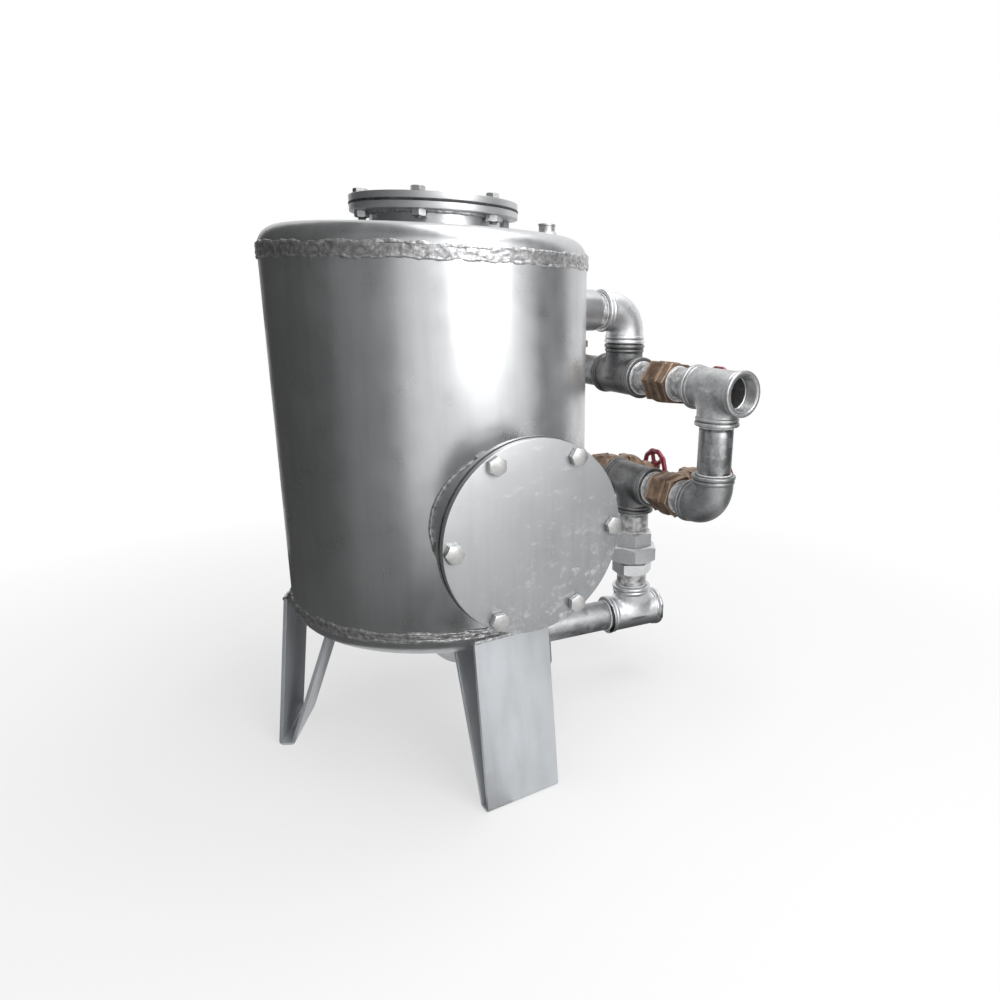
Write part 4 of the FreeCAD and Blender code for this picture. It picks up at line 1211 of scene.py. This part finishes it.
def makePipes():
    low, high = cornersOf("upper_nozzle")
    axis = zAxis * middleOf("upper_nozzle")[2]
    centres["upper_nozzle"] = axis + xAxis * high[0]
    seals = []
    for node, runs in pipeRuns.items():
        shapes = []
        for first, way, last in runs:
            way = bottomRun if way is None else way
            (near, gripStart), (far, gripEnd) = [pipe["ends"][name.split("_")[-1]] for name in (first, last)]
            start, end = centres[first] + way * near, centres[last] - way * far
            length = np.linalg.norm(end - start)
            way = (end - start) / length
            shapes.append(between(start, way, length, gripStart, gripEnd))
            if length < pipe["shortest"]:
                continue
            for spot, inward in ((start, way), (end, -way)):
                ring = circleLine(pipe["outer"] + pipe["sealOut"], pipe["sealUp"], 72)
                seals.append((moved(ring, upright(spot, inward)), True))
        looks = {"bottom_pipe": paleZinc, "pipe_nipples": tapedZinc}.get(node)
        addPiece(pieceName(node), joined(shapes), node, 35, looks=looks)
    addBead("ThreadSeals", seals, pipe["sealSize"], pipe["sealRoughness"], None, sealPaste, pipe["sealGrain"])
    socket = rounded(section(pipe["outer"], pipe["nozzle"], 0, high[0] - low[0]), [0, 0, 1.6, 1.2])
    addPiece("UpperNozzle", lathe(socket, 128), "upper_nozzle", 40, upright(axis + xAxis * low[0], xAxis))


# studio
studio = {"eye": (-0.5095, -1.2052, 0.7820), "azimuth": -37.40, "elevation": 16.31, "roll": 1.77,
          "lens": 27.08, "sensor": 36.0, "shift": (-0.1272, 0.0183),
          "floorSize": 30.0, "floorColour": (0.86, 0.86, 0.86), "floorGloss": 0.1, "ambient": 0.32,
          "fade": (0.5, 1.6, 0.60),  # near, far, and the glow at the near end
          "flags": ((110, 190, 0.85, 0.005, 2.8, 0.04),  # from and to degrees, radius, low, high, shade
                    (190, 229, 0.85, 0.005, 2.4, 0.18), (-50, -14, 0.95, 0.005, 2.2, 0.10)),
          "carpets": ((45, 266, 0.27, 1.15, 0.05),  # from and to degrees, near, far, shade
                      (-50, 45, 0.27, 0.62, 0.06)), "carpetHeight": 0.004,
          "ceiling": (-1.7, -1.1, -0.06, 1.3, 1.9, 0.06),  # left, front, right, back, height, shade
          "lamps": (("Key", (0.35, -2.3, 1.5), (0.0, 0.0, 0.5), (1.3, 1.6), 36),  # place, target, size, power
                    ("Top", (0.5, -0.4, 3.0), (0.1, 0.0, 0.5), (2.0, 2.0), 44))}


def makeCamera():
    azimuth, elevation, roll = [math.radians(studio[way]) for way in ("azimuth", "elevation", "roll")]
    level = math.cos(elevation)
    back = Vector((math.sin(azimuth) * level, -math.cos(azimuth) * level, math.sin(elevation)))
    right = (-back).cross(Vector((0, 0, 1))).normalized()
    up = right.cross(-back)
    data = bpy.data.cameras.new("Camera")
    data.lens, data.sensor_width = studio["lens"], studio["sensor"]
    data.shift_x, data.shift_y = studio["shift"]
    camera = addObject("Camera", data)
    turn = Matrix((right * math.cos(roll) + up * math.sin(roll), up * math.cos(roll) - right * math.sin(roll),
                   back)).transposed().to_4x4()
    turn.translation = Vector(studio["eye"])
    camera.matrix_world = turn
    bpy.context.scene.camera = camera


def areaLamp(name, place, target, size, power):
    data = bpy.data.lights.new(name, "AREA")
    data.shape = "RECTANGLE"
    data.size, data.size_y = size
    data.energy = power
    lamp = addObject(name, data)
    lamp.location = place
    lamp.rotation_euler = (Vector(target) - Vector(place)).to_track_quat("-Z", "Y").to_euler()
    lamp.visible_camera = False


def seenDirectly(tree):
    # 1 for rays from the camera and rays that a mirror or glass sends on
    path = newNode(tree, "ShaderNodeLightPath").outputs
    total = mathNode(tree, "ADD", path["Is Camera Ray"], path["Is Glossy Ray"])
    return mathNode(tree, "MINIMUM", mathNode(tree, "ADD", total, path["Is Transmission Ray"]), 1.0)


def floorMaterial():
    # pale near the object, where it keeps the shadow, and white further off
    finish = Finish("floorPale")
    finish.surface(studio["floorColour"], 0.95)
    fill(finish.tree, finish.shader, {"Specular IOR Level": studio["floorGloss"]})
    near, far, glow = studio["fade"]
    away = finish.node("ShaderNodeVectorMath", {0: finish.spot}, operation="LENGTH").outputs["Value"]
    share = finish.product(seenDirectly(finish.tree), finish.band(away, near, far, glow, 1.0))
    white = finish.node("ShaderNodeEmission")
    both = finish.node("ShaderNodeMixShader", {0: share, 1: finish.shader, 2: white})
    fill(finish.tree, finish.tree.nodes["Material Output"], {"Surface": both})
    return finish.material


def strip(first, last, rows, count=24):
    # a bent screen between two arcs, each its radius and height
    turns = np.radians(np.linspace(first, last, count))
    points = np.concatenate([around(radius, turns, height) for radius, height in rows])
    return points, [(i, i + 1, i + count + 1, i + count) for i in range(count - 1)]


def makeFlag(name, points, faces, tone):
    # a dark screen that only reflections show, as beside metal in a photographer's studio
    flag = makePiece(name, points / mm, faces)
    dark = bpy.data.materials.new(name)
    dark.use_nodes = True
    glow = newNode(dark.node_tree, "ShaderNodeEmission", {"Color": (tone, tone, tone)})
    fill(dark.node_tree, dark.node_tree.nodes["Material Output"], {"Surface": glow})
    flag.data.materials.append(dark)
    for ray in ("camera", "diffuse", "shadow", "transmission"):
        setattr(flag, "visible_" + ray, False)


def flatSquare(left, front, right, back, height):
    corners = [(left, front, height), (right, front, height), (right, back, height), (left, back, height)]
    return np.array(corners), [(0, 1, 2, 3)]


def makeStudio():
    half = studio["floorSize"] / 2
    points, faces = flatSquare(-half, -half, half, half, 0)
    floor = makePiece("Floor", points / mm, faces)
    floor.data.materials.append(floorMaterial())
    for index, (first, last, radius, low, high, tone) in enumerate(studio["flags"]):
        makeFlag("Flag%d" % index, *strip(first, last, ((radius, low), (radius, high))), tone)
    for index, (first, last, near, far, tone) in enumerate(studio["carpets"]):
        rows = [(radius, studio["carpetHeight"]) for radius in (near, far)]
        makeFlag("Carpet%d" % index, *strip(first, last, rows), tone)
    makeFlag("Ceiling", *flatSquare(*studio["ceiling"][:5]), studio["ceiling"][5])
    for lamp in studio["lamps"]:
        areaLamp(*lamp)
    world = bpy.data.worlds.new("World")
    bpy.context.scene.world = world
    world.use_nodes = True
    tree = world.node_tree
    extra = mathNode(tree, "MULTIPLY", seenDirectly(tree), 1 - studio["ambient"])
    fill(tree, tree.nodes["Background"], {"Color": (1.0, 1.0, 1.0),
                                          "Strength": mathNode(tree, "ADD", extra, studio["ambient"])})


makeTank()
makeWelds()
print("tank and welds made")
makeManways()
makeBolts()
makeVent()
makeLegs()
print("manways, fasteners, vent and legs made")
bottomRun = makeFittings()
print("fittings made")
makeValves()
makeUnion()
makePipes()
print("valves, union and pipes made")
makeCamera()
makeStudio()
bpy.context.scene.view_settings.view_transform = "Standard"
